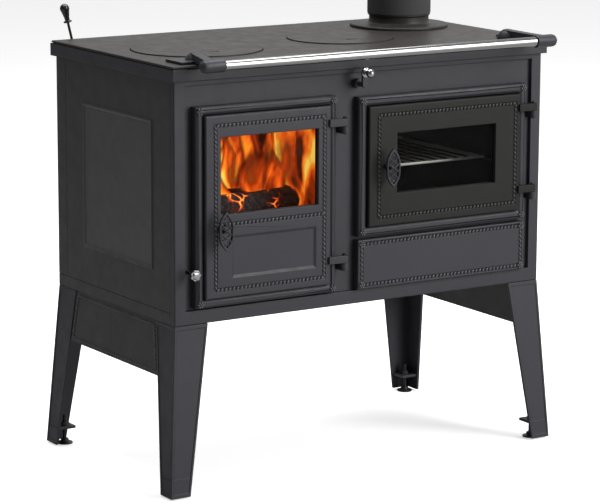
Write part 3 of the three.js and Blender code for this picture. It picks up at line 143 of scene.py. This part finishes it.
def relief(tree, principled, height, strength, distance):
    """Bump on the surface; distance is in metres."""
    bump = add(tree, "Bump", {"Strength": strength, "Distance": distance, "Height": height})
    tree.links.new(bump.outputs["Normal"], principled.inputs["Normal"])


def ramp(tree, factor, stops):
    """A colour from a factor, by stops of (place, colour)."""
    node = add(tree, "ValToRGB", {"Fac": factor})
    elements = node.color_ramp.elements
    while len(elements) < len(stops):
        elements.new(1.0)
    for element, (place, colour) in zip(elements, stops):
        element.position = place
        element.color = (*colour, 1)
    return node.outputs["Color"]


NOISE_LOW, NOISE_HIGH = 0.3, 0.7  # a noise's usual range


def span(tree, value, start, end, low=0.0, high=1.0, **settings):
    """Maps start to end onto low to high, and holds the ends beyond."""
    inputs = {"Value": value, "From Min": start, "From Max": end, "To Min": low, "To Max": high}
    return add(tree, "MapRange", inputs, **settings).outputs["Result"]


def shade(colour, factor):
    """A colour, lighter or darker."""
    return tuple(channel * factor for channel in colour)


def math_node(tree, operation, first, second=0.0, clamp=False):
    """The result of a Math node."""
    inputs = {0: first, 1: second}
    return add(tree, "Math", inputs, operation=operation, use_clamp=clamp).outputs["Value"]


# a Mix node has its own sockets for numbers and for colours
NUMBER_A, NUMBER_B, NUMBER_OUT = 2, 3, 0
COLOUR_A, COLOUR_B, COLOUR_OUT = 6, 7, 2


def multiply(tree, first, second, factor=1.0):
    """One colour times another, as far as the factor says."""
    inputs = {0: factor, COLOUR_A: first, COLOUR_B: second}
    node = add(tree, "Mix", inputs, data_type="RGBA", blend_type="MULTIPLY")
    return node.outputs[COLOUR_OUT]


PANEL_STEP = 1.5 * MM  # half the width of the soft step at the edge of a panel's lighter field
PANEL_GAIN = 2.0  # how many times lighter it is inside


def inside(tree, value, low, high):
    """1 between low and high and 0 outside, with a soft step at both."""
    rise = span(tree, value, low - PANEL_STEP, low + PANEL_STEP)
    fall = span(tree, value, high + PANEL_STEP, high - PANEL_STEP)
    return math_node(tree, "MULTIPLY", rise, fall)


def lighter_panel_field(tree, place, tone, panel):
    """The tone, lighter inside the panel's (low Y, high Y, low Z, high Z)."""
    axes = add(tree, "SeparateXYZ", {"Vector": place})
    within_y = inside(tree, axes.outputs["Y"], *panel[:2])
    within_z = inside(tree, axes.outputs["Z"], *panel[2:])
    within = math_node(tree, "MULTIPLY", within_y, within_z)
    return multiply(tree, tone, (PANEL_GAIN, PANEL_GAIN, PANEL_GAIN, 1), within)


# noise scales of cast metal, per metre: clouds of tone, smears of gloss, and the skin's pits
CLOUDS, SMEARS, SKIN = 5, 38, 700
# painted shade: the skin's hollows are darker
PIT_SHADE_TONES = [(0.28, (0.82, 0.82, 0.82)), (0.6, (1, 1, 1))]
GLOSSIER, DULLER = 0.05, 0.06  # how far the smears change the roughness
SKIN_RELIEF = 0.0003


def cast_metal(name, colour, roughness, sheen=0.3, grain=0.35, blotch=0.05, panel=None):
    """Cast or rolled metal: a fine skin with painted shade in its pits, slow clouds of tone, and
    smears of uneven gloss.

    sheen is how strongly it mirrors, grain the depth of its skin, and blotch that of its clouds.
    """
    material, tree, principled = shader(name, Specular_IOR_Level=sheen)
    place = add(tree, "TexCoord").outputs["Object"]
    cloud = noise_of(tree, place, CLOUDS, 3)
    smear = noise_of(tree, place, SMEARS, 4)
    skin = noise_of(tree, place, SKIN, 2)
    low, high = shade(colour, 1 - blotch), shade(colour, 1 + blotch)
    tone = ramp(tree, cloud, [(NOISE_LOW, low), (NOISE_HIGH, high)])
    if panel:
        tone = lighter_panel_field(tree, place, tone, panel)
    pits = ramp(tree, skin, PIT_SHADE_TONES)
    tree.links.new(multiply(tree, tone, pits), principled.inputs["Base Color"])
    gloss = span(tree, smear, NOISE_LOW, NOISE_HIGH, roughness - GLOSSIER, roughness + DULLER)
    tree.links.new(gloss, principled.inputs["Roughness"])
    relief(tree, principled, skin, grain, SKIN_RELIEF)
    return material


def smooth_metal(name, colour, roughness, metallic=1.0):
    """Polished metal or plastic, with faint clouds in its tone."""
    material, tree, principled = shader(name, Metallic=metallic, Roughness=roughness)
    haze = noise_of(tree, add(tree, "TexCoord").outputs["Object"], 30, 3)
    tone = ramp(tree, haze, [(NOISE_LOW, shade(colour, 0.93)), (NOISE_HIGH, colour)])
    tree.links.new(tone, principled.inputs["Base Color"])
    return material


PANE_IOR = 1.12  # low, for glass with a coating against reflections


def pane(name, tint):
    """Flat glass: it mirrors by angle and lets the rest through, tinted."""
    material, tree = mix_shader(name)
    clear = add(tree, "BsdfTransparent", {"Color": (*tint, 1)})
    mirror = add(tree, "BsdfGlossy", {"Color": (0.6, 0.6, 0.6, 1), "Roughness": 0.04})
    angle = add(tree, "Fresnel", {"IOR": PANE_IOR})
    show_mix(tree, angle.outputs["Fac"], clear.outputs["BSDF"], mirror.outputs["BSDF"])
    return material


def rope(name, colour):
    """Braided seal: slanting strands, with painted shade darkening the gaps between them."""
    material, tree, principled = shader(name, Roughness=0.95)
    place = add(tree, "TexCoord").outputs["Object"]
    braid = {"Vector": place, "Scale": 180, "Distortion": 3, "Detail": 2}
    strands = add(tree, "TexWave", braid, bands_direction="DIAGONAL").outputs["Fac"]
    tone = ramp(tree, strands, [(0.2, shade(colour, 0.5)), (0.8, colour)])
    tree.links.new(tone, principled.inputs["Base Color"])
    relief(tree, principled, strands, 0.8, 0.0008)
    return material


def fired_clay(name, colour):
    """Firebrick: sandy, with clouds of soot."""
    material, tree, principled = shader(name, Roughness=0.9)
    place = add(tree, "TexCoord").outputs["Object"]
    soot = noise_of(tree, place, 12, 5)
    sand = noise_of(tree, place, 500, 2)
    tone = ramp(tree, soot, [(0.35, shade(colour, 0.25)), (0.6, colour)])
    tree.links.new(tone, principled.inputs["Base Color"])
    relief(tree, principled, sand, 0.5, 0.0006)
    return material


# ---------------------------------------------------------------- finishes by the record's slots
# middle lines of the moulding on the sides, in the casing's millimetres
PANEL_FRONT, PANEL_REAR = 87.5, 365.5
PANEL_LOW, PANEL_HIGH = 444.5, 734.5
SIDE_PANEL = (at(0, PANEL_FRONT, 0).y, at(0, PANEL_REAR, 0).y, PANEL_LOW * MM, PANEL_HIGH * MM)
FRONT_BLACK = (0.027, 0.0272, 0.0335)
OVEN_BLACK = (0.0110, 0.0110, 0.0100)
# painted light: the sides' black is a lighter copy of the front's, to make up for the dim light on
# the stove's left
SIDE_BLACK_PAINTED_LIGHT = (0.031, 0.031, 0.031)
HOB_GREY = (0.028, 0.0245, 0.0225)
PIPE_BLACK = (0.058, 0.058, 0.058)
STEEL_BLACK = (0.012, 0.012, 0.012)
LINER_BLACK = (0.008, 0.008, 0.008)
# painted highlight: the beads' greys are lighter than their plates' blacks, for the light that the
# raised beads catch
BEAD_HIGHLIGHT_GREY = (0.048, 0.049, 0.056)
# painted highlight: the rosettes' grey is lighter still, for the light that their petals catch
ROSETTE_HIGHLIGHT_GREY = (0.085, 0.086, 0.094)
OVEN_BEAD_HIGHLIGHT_GREY = (0.030, 0.030, 0.029)
FINISHES = {
    "front_iron": cast_metal("stove_black_front", FRONT_BLACK, 0.46, sheen=0.3),
    "oven_door_iron": cast_metal("stove_black_oven_door", OVEN_BLACK, 0.48, sheen=0.18),
    # painted light: the sides' lighter copy of the stove black
    "side_iron": cast_metal("stove_black_side_painted_light", SIDE_BLACK_PAINTED_LIGHT, 0.5, sheen=0.33),
    "hob_iron": cast_metal("hob_grey", HOB_GREY, 0.44, sheen=0.2, grain=0.2, blotch=0.04),
    "flue_sheet": cast_metal("flue_black_sheet", PIPE_BLACK, 0.65, sheen=0.04, grain=0.1),
    "rail_steel": smooth_metal("polished_rail", (0.27, 0.267, 0.264), 0.12),
    "chrome": smooth_metal("chrome", (0.34, 0.34, 0.34), 0.04),
    "black_steel": cast_metal("black_steel", STEEL_BLACK, 0.36, grain=0.1),
    "black_plastic": smooth_metal("glossy_black_knob", (0.010, 0.010, 0.010), 0.12, metallic=0.0),
    "door_glass": pane("door_glass", (0.90, 0.90, 0.89)),
    "rope_seal": rope("seal_rope", (0.06, 0.06, 0.055)),
    "firebrick": fired_clay("firebrick", (0.16, 0.11, 0.07)),
    "oven_liner": cast_metal("oven_liner", LINER_BLACK, 0.5, sheen=0.1, grain=0.1),
}
SIDE_FINISH = cast_metal("stove_black_side_painted_light_panel", SIDE_BLACK_PAINTED_LIGHT, 0.5, sheen=0.33, panel=SIDE_PANEL)
OWN_FINISHES = {  # nodes whose looks differ from the rest of their slot
    "side_panel_left": SIDE_FINISH,
    "side_panel_right": SIDE_FINISH,
    "oven_rack": smooth_metal("satin_wire", (0.85, 0.85, 0.83), 0.4, metallic=0.15),
}
# painted highlight on the raised beads: lighter finishes than the plates around them
BEAD_HIGHLIGHT_FINISH = cast_metal("bead_blacking_painted_highlight", BEAD_HIGHLIGHT_GREY, 0.38, sheen=0.5, grain=0.15)
# painted highlight on the rosettes' petals
ROSETTE_HIGHLIGHT_FINISH = cast_metal("rosette_painted_highlight", ROSETTE_HIGHLIGHT_GREY, 0.36, sheen=0.6, grain=0.15)
OVEN_BEAD_HIGHLIGHT_FINISH = cast_metal("oven_bead_blacking_painted_highlight", OVEN_BEAD_HIGHLIGHT_GREY, 0.4, sheen=0.4, grain=0.15)


def finish_nodes():
    """Puts each node's finish in its slots, which are packed with the record's slot names."""
    for name, node in NODES.items():
        for slot in node.material_slots:
            slot.material = OWN_FINISHES.get(name, FINISHES[slot.material.name])


finish_nodes()


# ---------------------------------------------------------------- softened edges
def smooth_group():
    """A modifier that shades its mesh smooth, for the normals that follow it."""
    group = bpy.data.node_groups.new("shade_smooth", "GeometryNodeTree")
    for way in ("INPUT", "OUTPUT"):
        group.interface.new_socket("Geometry", in_out=way, socket_type="NodeSocketGeometry")
    start = group.nodes.new("NodeGroupInput")
    smooth = group.nodes.new("GeometryNodeSetShadeSmooth")
    end = group.nodes.new("NodeGroupOutput")
    group.links.new(start.outputs[0], smooth.inputs["Geometry"])
    group.links.new(smooth.outputs["Geometry"], end.inputs[0])
    return group


SMOOTH = smooth_group()
WELD_DISTANCE = 0.01 * MM
BEVEL_ANGLE = math.radians(28)  # edges that turn by less are left as they are
BEVEL_SEGMENTS = 2
AREA_WEIGHT = 80  # how far large faces rule the normals at their edges
CASTING_RADIUS = 0.9  # edge radius of a casting, mm
FINE_RADII = {  # edge radii of the small pieces, mm
    "oven_rack": 0.0,
    "towel_rail": 0.0,
    "fire_grate": 0.6,
    "damper_crank": 0.3,
    "damper_knob": 0.3,
    "air_knob": 0.3,
    "rear_lever": 0.3,
}


def soften(name, radius):
    """Rounds a node's edges with modifiers; its own mesh stays as packed."""
    node = NODES[name]
    weld = node.modifiers.new("weld", "WELD")
    weld.merge_threshold = WELD_DISTANCE
    if radius:
        bevel = node.modifiers.new("round", "BEVEL")
        bevel.width = radius * MM
        bevel.segments = BEVEL_SEGMENTS
        bevel.limit_method = "ANGLE"
        bevel.angle_limit = BEVEL_ANGLE
        bevel.use_clamp_overlap = False
        bevel.loop_slide = False
    shading = node.modifiers.new("smooth", "NODES")
    shading.node_group = SMOOTH
    weights = node.modifiers.new("weights", "WEIGHTED_NORMAL")
    weights.weight = AREA_WEIGHT
    weights.keep_sharp = False


for node_name in NODES:
    soften(node_name, FINE_RADII.get(node_name, CASTING_RADIUS))


# ---------------------------------------------------------------- new pieces
def piece(name, form, material, body):
    """A bmesh as a shown piece that rides on a body, with the given finish."""
    bmesh.ops.recalc_face_normals(form, faces=form.faces)
    mesh = bpy.data.meshes.new(name)
    form.to_mesh(mesh)
    form.free()
    mesh.materials.append(material)
    mesh.polygons.foreach_set("use_smooth", [True] * len(mesh.polygons))
    made = bpy.data.objects.new(name, mesh)
    bpy.context.scene.collection.objects.link(made)
    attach(made, body)


BLOB_SUBDIVISIONS = 2


def blob(form, centre, turn, size):
    """An ellipsoid of the given half sizes, in the axes of turn."""
    stretch = Matrix.Diagonal((*size, 1))
    place = Matrix.Translation(centre) @ turn.to_4x4() @ stretch
    bmesh.ops.create_icosphere(form, subdivisions=BLOB_SUBDIVISIONS, radius=1, matrix=place)


# ---------------------------------------------------------------- bead borders and rosettes
BEAD_PITCH = 9 * MM
BEAD_HALF = (4.4 * MM, 2.6 * MM, 2.6 * MM)  # along the bead, across it, and out of the plate
BEAD_LEAN = math.radians(38)
BEAD_SUNK = 0.4  # how far a bead's middle lies behind the plate's face
PETALS = 6
PETAL_REACH, PETAL_PROUD = 4.9, 0.8
PETAL_HALF = (2.8 * MM, 2.0 * MM, 3.2 * MM)
HEART_PROUD = 1.6
HEART_HALF = (2.2 * MM, 2.2 * MM, 2.8 * MM)
# places in the casing's millimetres: front faces that carry ornament, and lines that it follows
DOOR_FRONT, COVER_FRONT, TRIM_FRONT = -18, -10, -12
FIRE_ROWS = {"x": (82, 332), "z": (408, 536.5, 731)}
OVEN_ROWS = {"x": (462, 800), "z": (516, 722.5)}
COVER_ROWS = {"x": (427.5, 824), "z": (379.5, 463)}
FIRE_TRIM_MIDDLE = {"x": (50.75, 356.75), "z": (381.75, 760.25)}
OVEN_TRIM_MIDDLE = {"x": (428.25, 823.25), "z": (487.75, 751.75)}


def bead_row(form, start, end, out):
    """Slanting pearls from start to end on a plate that faces along out."""
    run = end - start
    count = max(1, round(run.length / BEAD_PITCH))
    along = run.normalized()
    across = out.cross(along)
    axes = Matrix((along, across, out)).transposed()
    turn = axes @ Matrix.Rotation(BEAD_LEAN, 3, "Z")
    for i in range(count):
        blob(form, start + run * ((i + 0.5) / count), turn, BEAD_HALF)


def bead_border(name, rows, front, body, material=BEAD_HIGHLIGHT_FINISH):
    """Bead rows along a rectangle's sides, and along any height between them."""
    form = bmesh.new()
    out = Vector((0, -1, 0))
    y = front + BEAD_SUNK
    left, right = rows["x"]
    low, high = rows["z"][0], rows["z"][-1]
    for x in (left, right):
        bead_row(form, at(x, y, low), at(x, y, high), out)
    for z in rows["z"]:
        bead_row(form, at(left, y, z), at(right, y, z), out)
    piece(name, form, material, body)


def rosettes(name, rows, front, body):
    """A six-petalled flower on each corner of a rectangle."""
    form = bmesh.new()
    out = Matrix.Rotation(math.radians(90), 3, "X")
    for x in rows["x"]:
        for z in (rows["z"][0], rows["z"][-1]):
            blob(form, at(x, front - HEART_PROUD, z), out, HEART_HALF)
            for petal in range(PETALS):
                angle = math.radians(360 / PETALS * petal)
                across, up = PETAL_REACH * math.cos(angle), PETAL_REACH * math.sin(angle)
                turn = Matrix.Rotation(-angle, 3, "Y") @ out
                blob(form, at(x + across, front - PETAL_PROUD, z + up), turn, PETAL_HALF)
    piece(name, form, ROSETTE_HIGHLIGHT_FINISH, body)


bead_border("fire_door_beads", FIRE_ROWS, DOOR_FRONT, "fire_door_body")
bead_border(
    "oven_door_beads", OVEN_ROWS, DOOR_FRONT, "oven_door_body", OVEN_BEAD_HIGHLIGHT_FINISH
)
bead_border("soot_cover_beads", COVER_ROWS, COVER_FRONT, "soot_cover_body")
rosettes("fire_surround_rosettes", FIRE_TRIM_MIDDLE, TRIM_FRONT, "root")
rosettes("oven_surround_rosettes", OVEN_TRIM_MIDDLE, TRIM_FRONT, "root")
rosettes("soot_cover_rosettes", COVER_ROWS, COVER_FRONT, "soot_cover_body")


# ---------------------------------------------------------------- side aprons' bead borders
LEG_TOP, LEG_FOOT = 340.7, 3  # heights between which a leg leans out
LEG_SPLAY = 23
LEG_WIDTH_TOP, LEG_WIDTH_FOOT = 75, 44
APRON_INSET = 2
APRON_HEIGHT = 108
APRON_EDGE = 9  # from the apron's edges to the middle of its beads


def apron_edge(z):
    """X of the apron's outer face, and the Y of its front edge, at a height."""
    drop = (LEG_TOP - z) / (LEG_TOP - LEG_FOOT)
    lean = LEG_SPLAY * drop
    width = LEG_WIDTH_TOP + (LEG_WIDTH_FOOT - LEG_WIDTH_TOP) * drop
    return APRON_INSET - lean, width - lean


def apron_beads(name, side):
    """The bead border of an apron; side is -1 for the left one and 1 for the right one."""
    form = bmesh.new()

    def spot(z, rear):
        x, front = apron_edge(z)
        y = front + APRON_EDGE
        if rear:
            y = CASING_DEPTH / MM - y
        return at(x if side < 0 else CASING_WIDTH - x, y, z)

    top, bottom = LEG_TOP - APRON_EDGE, LEG_TOP - APRON_HEIGHT + APRON_EDGE
    lean = math.atan2(LEG_SPLAY, LEG_TOP - LEG_FOOT)
    out = Vector((side * math.cos(lean), 0, math.sin(lean)))
    bead_row(form, spot(top, False), spot(top, True), out)
    bead_row(form, spot(bottom, False), spot(bottom, True), out)
    for rear in (False, True):
        bead_row(form, spot(top, rear), spot(bottom, rear), out)
    piece(name, form, BEAD_HIGHLIGHT_FINISH, "root")


apron_beads("apron_beads_left", -1)
apron_beads("apron_beads_right", 1)


# ---------------------------------------------------------------- fire
# the firebox in the casing's millimetres: between its side bricks, from its front to its rear brick
GRATE_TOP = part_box("fire_grate")[1][2] / MM
FIRE_X = (68, 372)
FIRE_Y = (60, 318)
FIRE_TOP = 736
FIRE_COLOURS = [  # by heat
    (0.00, (0.004, 0.0005, 0.000)),
    (0.28, (0.050, 0.004, 0.000)),
    (0.46, (0.340, 0.028, 0.001)),
    (0.64, (0.850, 0.110, 0.005)),
    (0.84, (1.000, 0.330, 0.015)),
    (1.00, (1.000, 0.640, 0.110)),
]
STREAK_SCALE = (20, 13, 5.5)  # low along Z, so that the streaks stand up
STREAK_RANGE = (0.33, 0.66)
FADE_SIDES = 0.32  # share of a sheet's width over which its sides fade out
FADE_TIP = (1.0, 0.45)  # and the heights between which its tip does
CLEAR_HEAT, FULL_HEAT = 0.04, 0.42  # a sheet is clear at the first heat and hides at the second


def flame_material(name, strength, density):
    """Glowing gas: streaks rise through it, hottest in the middle and fading to its edges."""
    material, tree = mix_shader(name)
    coordinates = add(tree, "TexCoord")
    rise = add(tree, "Mapping", {"Vector": coordinates.outputs["Object"], "Scale": STREAK_SCALE})
    winding = {"Scale": 1, "Detail": 4, "Roughness": 0.5, "Distortion": 1.0}
    winding["Vector"] = rise.outputs["Vector"]
    streaks = add(tree, "TexNoise", winding).outputs["Fac"]
    sheet = add(tree, "SeparateXYZ", {"Vector": coordinates.outputs["UV"]})
    # u is 0 and 1 at the sides; v is 0 at the foot and 1 at the tip
    side = math_node(tree, "PINGPONG", sheet.outputs["X"], 0.5)
    body = span(tree, side, 0.0, FADE_SIDES, interpolation_type="SMOOTHSTEP")
    tip = span(tree, sheet.outputs["Y"], *FADE_TIP, interpolation_type="SMOOTHSTEP")
    shape = math_node(tree, "MULTIPLY", body, tip)
    streak = math_node(tree, "ADD", span(tree, streaks, *STREAK_RANGE), density)
    heat = math_node(tree, "MULTIPLY", shape, streak, clamp=True)
    glow = add(tree, "Emission", {"Color": ramp(tree, heat, FIRE_COLOURS), "Strength": strength})
    gap = add(tree, "BsdfTransparent")
    cover = span(tree, heat, CLEAR_HEAT, FULL_HEAT)
    show_mix(tree, cover, gap.outputs["BSDF"], glow.outputs["Emission"])
    return material


def cover_grid(form, uv, grid):
    """Faces over rows of (vertex, UV place)."""
    for lower, upper in zip(grid, grid[1:]):
        for i in range(len(lower) - 1):
            ring = [lower[i], lower[i + 1], upper[i + 1], upper[i]]
            face = form.faces.new([vertex for vertex, _ in ring])
            for loop, (_, place) in zip(face.loops, ring):
                loop[uv].uv = place


FLAME_TAPER = 0.6  # the power by which a tongue narrows to its tip
FLAME_DRIFT, FLAME_DEPTH = 0.16, 0.10  # how far it winds, in shares of its height


def flame_sheet(form, uv, foot, width, height, bend, turn):
    """One tongue: a tapering sheet on a winding middle line, turned about its foot."""
    across, up = 8, 22
    grid = []
    for j in range(up + 1):
        v = j / up
        half = width / 2 * (1 - v) ** FLAME_TAPER * (0.75 + 0.25 * math.sin(5 * v + bend))
        drift = FLAME_DRIFT * height * v * math.sin(3.2 * v + bend)
        depth = FLAME_DEPTH * height * math.sin(2.4 * v + 2 * bend)
        row = []
        for i in range(across + 1):
            u = i / across
            local = Vector((drift + half * (2 * u - 1), depth * (0.3 + v), height * v))
            row.append((form.verts.new(foot + turn @ local), (u, v)))
        grid.append(row)
    cover_grid(form, uv, grid)


FLAME_FOOT = 518  # under the logs' tops
FLAME_MARGIN = 26  # from the side bricks to the outermost feet
TALLEST = FIRE_TOP - 12 - FLAME_FOOT  # so that no tip comes within 12 of the firebox's top
FLAME_WIDTHS = (95, 150)
FLAME_TURNS = (-45, -8)  # degrees, to face the window's left
FLAME_STRENGTH, FLAME_DENSITY = 1.3, 0.18


def flames(name, seed, rows):
    """Rows of tongues; each row is its Y, how many stand in it, and their height in mm."""
    chance = random.Random(seed)
    form = bmesh.new()
    uv = form.loops.layers.uv.new("UVMap")
    for y, count, tall in rows:
        for i in range(count):
            share = (i + chance.uniform(0.25, 0.75)) / count
            x = FIRE_X[0] + FLAME_MARGIN + share * (FIRE_X[1] - FIRE_X[0] - 2 * FLAME_MARGIN)
            height = min(tall * chance.uniform(0.75, 1.1), TALLEST)
            width = chance.uniform(*FLAME_WIDTHS)
            turn = Matrix.Rotation(math.radians(chance.uniform(*FLAME_TURNS)), 3, "Z")
            foot = at(x, y, FLAME_FOOT)
            bend = chance.uniform(0, 6.28)
            flame_sheet(form, uv, foot, width * MM, height * MM, bend, turn)
    glow = flame_material(name + "_glow", FLAME_STRENGTH, FLAME_DENSITY)
    piece(name, form, glow, "root")


WALL_FOOT = 520
WALL_SIDES, WALL_REAR = 4, 10  # clearances to the bricks
WALL_WAVE = 4
WALL_U = 0.5  # it is drawn as a tongue's middle, so that its ends don't fade


def fire_wall():
    """The fire behind the tongues: a waving sheet before the rear brick and along the right one."""
    form = bmesh.new()
    uv = form.loops.layers.uv.new("UVMap")
    left, right = FIRE_X[0] + WALL_SIDES, FIRE_X[1] - WALL_SIDES
    front, rear = FIRE_Y[0], FIRE_Y[1] - WALL_REAR
    across, up = 48, 16
    run = (right - left) + (rear - front)
    grid = []
    for j in range(up + 1):
        z = WALL_FOOT + (FIRE_TOP - WALL_FOOT) * j / up
        row = []
        for i in range(across + 1):
            along = run * i / across
            wave = WALL_WAVE * math.sin(0.9 * i + 0.4 * j)
            turned = max(0, along - (right - left))
            x = min(left + along, right) + (wave - WALL_WAVE if turned else 0)
            y = rear - turned + (0 if turned else wave)
            row.append((form.verts.new(at(x, y, z)), (WALL_U, 0.2 + 0.2 * j / up)))
        grid.append(row)
    cover_grid(form, uv, grid)
    piece("fire_wall", form, flame_material("fire_wall_glow", 1.0, 0.0), "root")


def charred(name, glow):
    """Burning wood: black scales with grey ash on them and embers glowing in the cracks."""
    material, tree, principled = shader(name, Roughness=0.9, Emission_Strength=glow)
    place = add(tree, "TexCoord").outputs["Object"]
    scales = {"Vector": place, "Scale": 55}
    cracks = add(tree, "TexVoronoi", scales, feature="DISTANCE_TO_EDGE").outputs["Distance"]
    drift = noise_of(tree, place, 22, 4)
    ash = noise_of(tree, place, 140, 3)
    tone = ramp(tree, ash, [(0.45, (0.006, 0.005, 0.005)), (0.75, (0.055, 0.05, 0.047))])
    tree.links.new(tone, principled.inputs["Base Color"])
    open_cracks = span(tree, cracks, 0.16, 0.0)
    alight = span(tree, drift, 0.5, 0.68)
    heat = math_node(tree, "MULTIPLY", open_cracks, alight)
    tree.links.new(ramp(tree, heat, FIRE_COLOURS), principled.inputs["Emission Color"])
    relief(tree, principled, cracks, 0.9, 0.002)
    return material


LUMPS, SPLITS = 0.16, 0.07  # how far noise moves a log's skin, in shares of its radius


def log(form, centre, radius, length, yaw, seed):
    """A split log along X: its section is lumpy and its skin cracked by noise."""
    around, rings = 36, 40
    turn = Matrix.Rotation(yaw, 3, "Z")
    skin = []
    for j in range(rings + 1):
        share = j / rings
        x = (share - 0.5) * length
        end = min(1.0, 12 * min(share, 1 - share) + 0.55)
        ring = []
        for i in range(around):
            angle = 2 * math.pi * i / around
            ray = Vector((0, math.cos(angle), math.sin(angle)))
            probe = Vector((x * 9 + seed, ray.y * 1.3, ray.z * 1.3))
            rough = noise.noise(probe) * LUMPS + noise.noise(probe * 4) * SPLITS
            reach = radius * end * (0.93 + rough)
            ring.append(form.verts.new(centre + turn @ (Vector((x, 0, 0)) + ray * reach)))
        skin.append(ring)
    for j in range(rings):
        for i in range(around):
            k = (i + 1) % around
            form.faces.new((skin[j][i], skin[j][k], skin[j + 1][k], skin[j + 1][i]))
    form.faces.new(skin[0][::-1])
    form.faces.new(skin[-1])


LOGS = [  # X, Y of the middle, radius and length in mm, and turn about Z in degrees
    (214, 100, 27, 262, 4),
    (240, 160, 25, 240, -7),
    (212, 222, 24, 240, 5),
]
LOG_LIFT = 1.12  # height of a log's middle over the grate, in radii: it lies on its lumps
EMBERS = 130
EMBER_SIZES = (4, 9)
EMBER_X = (FIRE_X[0] + 20, FIRE_X[1] - 20)
EMBER_Y = (FIRE_Y[0] + 15, FIRE_Y[1] - 25)


def burning_wood():
    """Three logs, and a bed of embers on the grate under them."""
    form = bmesh.new()
    for seed, (x, y, radius, length, yaw) in enumerate(LOGS):
        z = GRATE_TOP + radius * LOG_LIFT
        log(form, at(x, y, z), radius * MM, length * MM, math.radians(yaw), seed * 7.3)
    piece("logs", form, charred("charred_log", 2.0), "root")
    chance = random.Random(4)
    form = bmesh.new()
    for _ in range(EMBERS):
        size = chance.uniform(*EMBER_SIZES)
        x = chance.uniform(*EMBER_X)
        y = chance.uniform(*EMBER_Y)
        turn = Matrix.Rotation(chance.uniform(0, 3), 3, (0.3, 0.5, 0.8))
        half = (size * MM, size * 0.8 * MM, size * 0.65 * MM)
        blob(form, at(x, y, GRATE_TOP + size), turn, half)
    piece("embers", form, charred("glowing_embers", 3.0), "root")


burning_wood()
flames("flames_front", 3, [(132, 4, 175)])
flames("flames_rear", 8, [(172, 5, 205), (218, 4, 205), (268, 4, 205)])
fire_wall()


# ---------------------------------------------------------------- studio
LIGHTS = [  # name, place, target, size, and power in watts
    ("key", (2.6, -4.2, 3.2), (0, 0, 0.6), (2.4, 2.4), 230),
    ("fill", (2.4, -5.0, 1.1), (0, 0, 0.5), (3.0, 1.6), 75),
    ("top", (0.2, 0.6, 4.2), (0, 0, 0.8), (4.0, 3.0), 200),
]
ROOM_AXIS = (0.98, 0.2, 0)  # the room's light grows along this, from the stove's left to its right
ROOM_REACH = (-0.1, 0.9)
ROOM_LIGHT = (0.18, 0.85)
FLOOR_REACH = 40
FLOOR_TONE = 0.9
FLOOR_GLOW = 0.5
FLOOR_BOUNCE = 0.45


def area_light(name, place, target, size, power):
    """A soft rectangular light that faces its target."""
    data = bpy.data.lights.new(name, "AREA")
    data.shape = "RECTANGLE"
    data.size, data.size_y = size
    data.energy = power
    light = bpy.data.objects.new(name, data)
    light.location = place
    aim = Vector(target) - Vector(place)
    light.rotation_euler = aim.to_track_quat("-Z", "Y").to_euler()
    bpy.context.scene.collection.objects.link(light)


def studio_world():
    """White where it's seen; the light that it gives is dim on the left and full on the right."""
    world = bpy.data.worlds.new("studio")
    world.use_nodes = True
    tree = world.node_tree
    background = tree.nodes["Background"]
    background.inputs["Color"].default_value = (1, 1, 1, 1)
    ray = add(tree, "TexCoord").outputs["Generated"]
    depth = add(tree, "VectorMath", {0: ray, 1: ROOM_AXIS}, operation="DOT_PRODUCT").outputs["Value"]
    room = span(tree, depth, *ROOM_REACH, *ROOM_LIGHT)
    seen = add(tree, "LightPath").outputs["Is Camera Ray"]
    strength = add(tree, "Mix", {0: seen, NUMBER_A: room, NUMBER_B: 1.0}).outputs[NUMBER_OUT]
    tree.links.new(strength, background.inputs["Strength"])
    bpy.context.scene.world = world


def floor_paint():
    """Pale and evenly lit where it's seen; it throws less of that light back on the stove."""
    material, tree, principled = shader("floor_paint", Roughness=0.9, Emission_Color=(1, 1, 1, 1))
    seen = add(tree, "LightPath").outputs["Is Camera Ray"]
    tone = ramp(tree, seen, [(0, (FLOOR_BOUNCE,) * 3), (1, (FLOOR_TONE,) * 3)])
    tree.links.new(tone, principled.inputs["Base Color"])
    glow = math_node(tree, "MULTIPLY", seen, FLOOR_GLOW)
    tree.links.new(glow, principled.inputs["Emission Strength"])
    return material


def studio():
    """World, lights, and a pale floor."""
    studio_world()
    for light in LIGHTS:
        area_light(*light)
    mesh = bpy.data.meshes.new("floor")
    ends = [(-1, -1), (1, -1), (1, 1), (-1, 1)]
    mesh.from_pydata([(x * FLOOR_REACH, y * FLOOR_REACH, 0) for x, y in ends], [], [(0, 1, 2, 3)])
    floor = bpy.data.objects.new("floor", mesh)
    bpy.context.scene.collection.objects.link(floor)
    mesh.materials.append(floor_paint())
    bpy.context.scene.view_settings.view_transform = "Standard"


studio()
